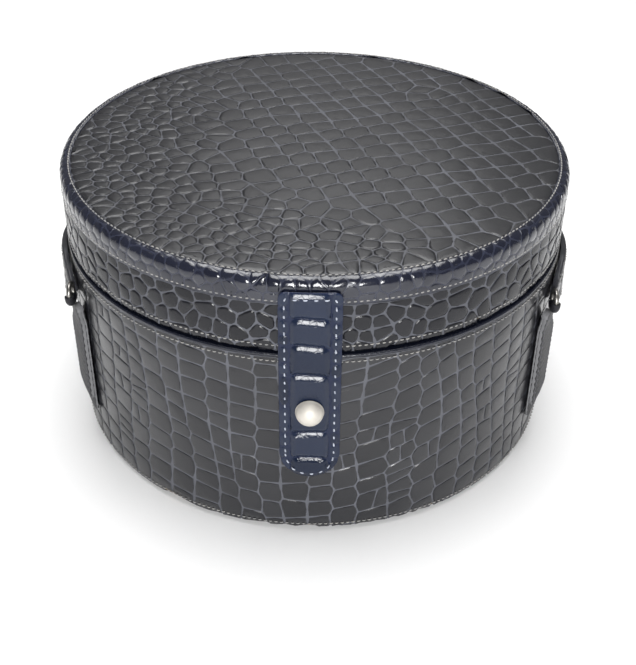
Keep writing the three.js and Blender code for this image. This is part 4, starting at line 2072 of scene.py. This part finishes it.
    def strap(self) -> None:
        """Builds the strap with its sleeves, and sews its edges."""
        bent, length = self.strap_map()
        count = int(length / 13)
        lines = [length * k / count + self.dice.uniform(-1.5, 1.5) for k in range(-1, count + 2)]
        plan = ColumnPlan(
            lines=lines,
            wave=lambda i, v: 0.8 * math.sin(v / 5 + i),
            low=-22,
            high=22,
            step=lambda u, v: 9.0,
            kink=lambda u, v: 0.5,
            slant=lambda u, v: 0.0,
        )
        scales = plan.lay(self.dice).clipped(self.strap_outline(length, 0.0))
        relief = Relief(body=2.7, groove=0.3, shoulder=0.6, rise=0.35, crown=0.3, pillow=2.0)
        strap = press("carry_strap", scales, relief, self.dice)
        put(strap, bent)
        pieces = [strap]
        for side in Side:
            name = f"sleeve_{side.name.lower()}"
            sleeve = self.torus(name, self.sleeve_r, -self.sleeve_half, self.sleeve_half)
            tone = sleeve.data.attributes.new("tone", "FLOAT", "FACE")
            tone.data.foreach_set("value", [0.5] * len(sleeve.data.polygons))
            rise = sleeve.data.attributes.new("rise", "FLOAT", "POINT")
            rise.data.foreach_set("value", [1.0] * len(sleeve.data.vertices))
            pieces.append(self.shifted(sleeve, side, -self.drop))
        strap = join(pieces, "carry_strap")
        shade(strap, 50)
        settle(strap, CARRY_LEATHER, Slot.SMOOTH, Body.HANDLE, "handle_strap")
        self.sew_strap(bent, length)

    def sew_strap(self, bent: Mapping, length: float) -> None:
        """Sews the row that runs round the strap inside its edge.

        Args:
            bent: How the flat strap bends.
            length: The strap's length.
        """
        stitch = Stitch(length=2.3, pitch=3.2)
        line = self.strap_outline(length, 3.0)
        line = [*line, line[0]]
        walk = steps_along(line, np.arange(0.5, run_of(line)[-1] - 1, stitch.pitch), 0.3)
        flat, heading = walk[:, :2], walk[:, 2:]
        level = np.full((len(flat), 1), self.thick - 0.25)
        here = bent(np.hstack([flat, level]))
        there = bent(np.hstack([flat + heading, level]))
        above = bent(np.hstack([flat, level + 1]))
        frames = [(Vector(a), Vector(b - a), Vector(c - a)) for a, b, c in zip(here, there, above)]
        stitch.row("carry_strap_stitches", frames, Body.HANDLE, self.dice)

    def flare(self, height: float | np.ndarray) -> float | np.ndarray:
        """Gives how far a lug flares out at a height."""
        return self.flare_out * np.clip((height - self.flare_from) / self.flare_over, 0, 1)

    def lug_layer(self, name: str, low: float, level: float, side: Side) -> Piece:
        """Builds one layer of a lug, flared out to the ring at its top.

        Args:
            name: The object's name.
            low: The layer's lower end.
            level: How far its underside stands off the box.
            side: The side of the box.

        Returns:
            The layer, in metres.
        """
        half, corner = math.radians(self.lug_half) * OUTER_R, 1.5
        top = self.ring[2] - self.ring_r - 1.2
        outline = [
            (-half + corner, low),
            (half - corner, low),
            (half, low + corner),
            (half, self.lug_cut[1]),
            (self.lug_cut[0], top),
            (-half + 1.0, top),
            (-half, top - 1.0),
            (-half, low + corner),
        ]
        ladder = np.linspace(low, top, 15)
        cells = [[(-half, a), (half, a), (half, b), (-half, b)] for a, b in zip(ladder, ladder[1:])]
        scales = ScaleMap(cells, reach=0.3).clipped(outline)
        lap = self.lap if level else 0.0
        thick = self.layer + lap - 0.02
        relief = Relief(body=thick, groove=0.3, shoulder=0.5, rise=0.01, crown=0.01, pillow=1.5, crisp=0.9)
        obj = press(name, scales, relief, self.dice)
        cut_edge = obj.data.attributes.new("cut_edge", "BOOLEAN", "FACE")
        cut_edge.data.foreach_set("value", [abs(face.normal.z) < 0.92 for face in obj.data.polygons])

        def wrapped(flat: np.ndarray) -> np.ndarray:
            """Wraps the layer on the drum and flares its top.

            Args:
                flat: The corners, one in each row.

            Returns:
                Where they go.
            """
            radius = FACING + level - lap + flat[:, 2] + self.flare(flat[:, 1])
            angle = side.value * (math.radians(self.lug_mid) + flat[:, 0] / OUTER_R)
            return np.column_stack([radius * np.sin(angle), -radius * np.cos(angle), flat[:, 1]])

        put(obj, wrapped)
        if side is Side.LEFT:
            with edit_mode(obj):
                bpy.ops.mesh.flip_normals()
        return obj

    def sew_lug(self, name: str, side: Side) -> None:
        """Sews the row that holds a lug on the box, open at its top.

        Args:
            name: The row's name.
            side: The side of the box.
        """
        stitch = Stitch(pitch=2.9, thread=DARK_THREAD)
        half, low = math.radians(self.lug_half) * OUTER_R - 2.6, self.lug_low[1] + 3.0
        line = [(-half, 83.0), (-half, low), (half, low), (half, 63.0), (-5.0, 82.0)]
        frames = []
        for u, v, run, climb in steps_along(line, np.arange(0.0, run_of(line)[-1], stitch.pitch), 0.3):
            angle = side.value * (math.radians(self.lug_mid) + u / OUTER_R)
            radius = FACING + 2 * self.layer - 0.12 + self.flare(v)
            frames.append(drum_frame(angle, v, radius, side.value * run, climb))
        stitch.row(name, frames, Body.BASE, self.dice)

    def lug(self, side: Side) -> None:
        """Builds one lug: two sewn layers, the sleeve on its ring and the ring.

        Args:
            side: The side of the box.
        """
        hand = side.name.lower()
        name = f"{hand}_lug"
        inner = self.lug_layer(f"{name}_inner", self.lug_low[0], 0.0, side)
        outer = self.lug_layer(f"{name}_outer", self.lug_low[1], self.layer, side)
        sleeve = self.torus(f"{name}_sleeve", self.sleeve_r, -90 - self.sleeve_half, -90 + self.sleeve_half)
        tab = join([inner, outer, self.shifted(sleeve, side)], f"{name}_tab")
        shade(tab, 50)
        settle(tab, LUG_LEATHER, Slot.SMOOTH, Body.BASE, name)
        tab.data.materials.append(EDGE_PAINT.material())
        for face, mark in zip(tab.data.polygons, tab.data.attributes["cut_edge"].data):
            face.material_index = int(mark.value)
        self.sew_lug(f"{name}_stitches", side)
        ring = self.shifted(self.torus(f"{hand}_ring_bar", self.wire_r, 0, 360), side)
        shade(ring)
        settle(ring, RING_METAL, Slot.NICKEL, Body.HANDLE, f"{hand}_ring")

    def build(self) -> None:
        """Builds the lugs, rings and strap."""
        for side in Side:
            self.lug(side)
        self.strap()


@dataclass
class Interior:
    """The box's lining, its floor pad and the padding under the lid's top."""

    wall_in: float = 122.2  # Inside of the wall lining
    wall_out: float = 123.2  # Its outside
    pad_z: float = 4.9  # Underside of the floor pad
    pad_t: float = 3.0  # Pad's thickness
    base_top: float = 104.2  # Upper edge of the base's lining
    lid_low: float = 107.6  # Lower edge of the lid's lining
    ceiling: float = 137.5  # Upper face of the lining under the lid's top
    # Radius, the underside and the top of the padding under the lid's panel
    foam: Place = (122.0, 140.6, 143.0)

    def sleeve(self, name: str, low: float, high: float, body: Body, node: str) -> None:
        """Builds a wall lining, with rounded edges and a lapped seam at the back.

        Args:
            name: The object's name.
            low: Its lower edge.
            high: Its upper edge.
            body: The body it rides on.
            node: The solid it stands for.
        """
        middle, half = (self.wall_in + self.wall_out) / 2, (self.wall_out - self.wall_in) / 2
        profile = [
            *arc((middle, low + half), half, 180, 360, 6),
            *[(self.wall_out, v) for v in np.linspace(low + 4, high - 4, 9)],
            *arc((middle, high - half), half, 0, 180, 6),
            *[(self.wall_in, v) for v in np.linspace(high - 4, low + 4, 9)],
        ]
        obj = turned(name, profile, 180)

        def lapped(flat: np.ndarray) -> np.ndarray:
            """Lifts the lining a little along its seam.

            Args:
                flat: The corners, one in each row.

            Returns:
                Where they go.
            """
            round_r, rise, half_lap = 122, 0.35, 2.2
            angle = np.arctan2(flat[:, 0], flat[:, 1])
            inside = np.hypot(flat[:, 0], flat[:, 1]) < middle
            lap = rise * np.exp(-((angle * round_r / half_lap) ** 2)) * inside
            shrink = 1 - lap / round_r
            return np.column_stack([flat[:, 0] * shrink, flat[:, 1] * shrink, flat[:, 2]])

        put(obj, lapped)
        settle(obj, VELVET, Slot.LINING, body, node)

    def pad(self, name: str, radius: float, low: float, high: float, swell: float) -> Piece:
        """Builds a round pad: flat below, crowned above, with a drawn-in edge.

        Args:
            name: The object's name.
            radius: The pad's radius.
            low: Its underside.
            high: The top of its crown.
            swell: How far the crown stands over the edge.

        Returns:
            The pad, in metres.
        """
        thick = high - low
        side = (thick - swell) / 2
        profile = [(0, low)]
        profile += [(r, low) for r in np.linspace(20, radius - side, 8)]
        profile += arc((radius - side, low + side), side, -90, 90, 8)
        rim = radius - side
        profile += [(r, high - swell * (r / rim) ** 6) for r in np.linspace(rim - 3, 8, 22)]
        profile.append((0, high))
        obj = turned(name, profile, 160)

        def slack(flat: np.ndarray) -> np.ndarray:
            """Lets the cloth of the upper face lie a little uneven.

            Args:
                flat: The corners, one in each row.

            Returns:
                Where they go.
            """
            angle = np.arctan2(flat[:, 1], flat[:, 0])
            out = np.hypot(flat[:, 0], flat[:, 1]) / radius
            upper = np.clip((flat[:, 2] - low - side) / max(thick - side, 0.1), 0, 1)
            wave = 0.10 * np.sin(9 * angle + 4 * out) + 0.08 * np.sin(17 * angle - 3)
            height = flat[:, 2] - upper * np.abs(wave) * out**2
            return np.column_stack([flat[:, 0], flat[:, 1], height])

        return put(obj, slack)

    def build(self) -> None:
        """Builds the wall linings, the floor pad, the ceiling and the lid's padding."""
        self.sleeve("base_wall_velvet", self.pad_z, self.base_top, Body.BASE, "base_side_lining")
        self.sleeve("lid_wall_velvet", self.lid_low, self.ceiling, Body.LID, "lid_side_lining")
        pad_r = self.wall_in - 0.3
        floor = self.pad("floor_cushion", pad_r, self.pad_z, self.pad_z + self.pad_t, 0.7)
        settle(floor, VELVET, Slot.LINING, Body.BASE, "base_floor_pad")
        ceiling = self.pad("lid_ceiling_velvet", pad_r, -self.ceiling, 1.0 - self.ceiling, 0.2)
        ceiling.data.transform(Matrix.Rotation(math.pi, 4, "X"))
        settle(ceiling, VELVET, Slot.LINING, Body.LID, "lid_top_lining")
        padding = self.pad("lid_padding", *self.foam, 0.5)
        settle(padding, FOAM, Slot.PADDING, Body.LID, "lid_top_padding")


@dataclass
class Studio:
    """The pale floor, the soft lights and the camera."""

    spot: Place = (0.00579, -0.51010, 0.39333)  # Where the camera stands, in metres
    down: float = 35.65  # How far it looks down, in degrees
    aside: float = 0.37  # How far it looks to the left, in degrees
    roll: float = 0.62  # How far it is rolled, in degrees
    lens: float = 59.86  # Its focal length, in millimetres
    sensor: float = 36.0  # Width of its sensor, in millimetres
    ambient: float = 0.17  # Strength of the white surroundings

    def camera(self) -> None:
        """Sets the camera at the photograph's viewing angle."""
        data = bpy.data.cameras.new("camera")
        data.lens = self.lens
        data.sensor_width = self.sensor
        data.clip_start = 0.01
        obj = bpy.data.objects.new("camera", data)
        bpy.context.scene.collection.objects.link(obj)
        turn = Matrix.Rotation(math.radians(self.aside), 4, "Z")
        tip = Matrix.Rotation(math.radians(90 - self.down), 4, "X")
        roll = Matrix.Rotation(math.radians(self.roll), 4, "Z")
        obj.matrix_world = Matrix.Translation(self.spot) @ turn @ tip @ roll
        bpy.context.scene.camera = obj

    def floor(self) -> None:
        """Lays a sheet of paper under the box."""
        bpy.ops.object.select_all(action="DESELECT")
        bpy.ops.mesh.primitive_grid_add(x_subdivisions=8, y_subdivisions=8, size=6.0, location=(0, 0, 0))
        obj = bpy.context.object
        obj.name = "floor"
        PAPER.dress(obj)

    def lamp(self, name: str, spot: Place, aim: Place, size: Point, power: float) -> None:
        """Hangs one soft lamp.

        Args:
            name: The lamp's name.
            spot: Where it hangs.
            aim: The point that it faces.
            size: The width and height of its panel.
            power: Its power in watts.
        """
        data = bpy.data.lights.new(name, "AREA")
        data.shape = "RECTANGLE"
        data.size, data.size_y = size
        data.energy = power
        obj = bpy.data.objects.new(name, data)
        bpy.context.scene.collection.objects.link(obj)
        way = Vector(aim) - Vector(spot)
        obj.matrix_world = Matrix.Translation(spot) @ way.to_track_quat("-Z", "Y").to_matrix().to_4x4()

    def build(self) -> None:
        """Sets up the floor, lights, surroundings and camera."""
        self.floor()
        world = bpy.data.worlds.new("surroundings")
        world.use_nodes = True
        background = world.node_tree.nodes["Background"]
        background.inputs["Color"].default_value = (1.0, 1.0, 1.0, 1.0)
        background.inputs["Strength"].default_value = self.ambient
        bpy.context.scene.world = world
        self.lamp("key", spot=(0.04, -1.2, 0.5), aim=(0, -0.05, 0.08), size=(0.45, 0.32), power=15.5)
        self.lamp("overhead", spot=(0.0, 0.25, 1.4), aim=(0, 0.1, 0.1), size=(1.1, 1.1), power=26.5)
        self.lamp("behind", spot=(0.0, 1.6, 1.25), aim=(0, 0, 0.14), size=(0.65, 0.65), power=2.3)
        bpy.context.scene.view_settings.view_transform = "Standard"
        self.camera()


def dress_hidden(nodes: dict[str, Piece]) -> None:
    """Gives the solids that stay their procedural finishes.

    Args:
        nodes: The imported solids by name.
    """
    hidden = {
        GREYBOARD: ("base_floor_board", "base_wall_board", "lid_wall_board", "lid_top_board"),
        NICKEL: ("snap_socket", "snap_stud", "snap_rivet"),
    }
    for finish, names in hidden.items():
        for name in names:
            finish.dress(nodes[name])
            LOG.info("%s: finished as it is", name)


def main() -> None:
    """Builds the box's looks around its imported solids."""
    logging.basicConfig(level=logging.INFO, format="%(message)s")
    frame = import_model()
    Studio().build()
    BaseShell().build()
    LidShell().build()
    ClosureStrap().build()
    RearHinge().build()
    CarryHandle().build()
    Interior().build()
    dress_hidden(frame["nodes"])


if __name__ == "__main__":
    main()
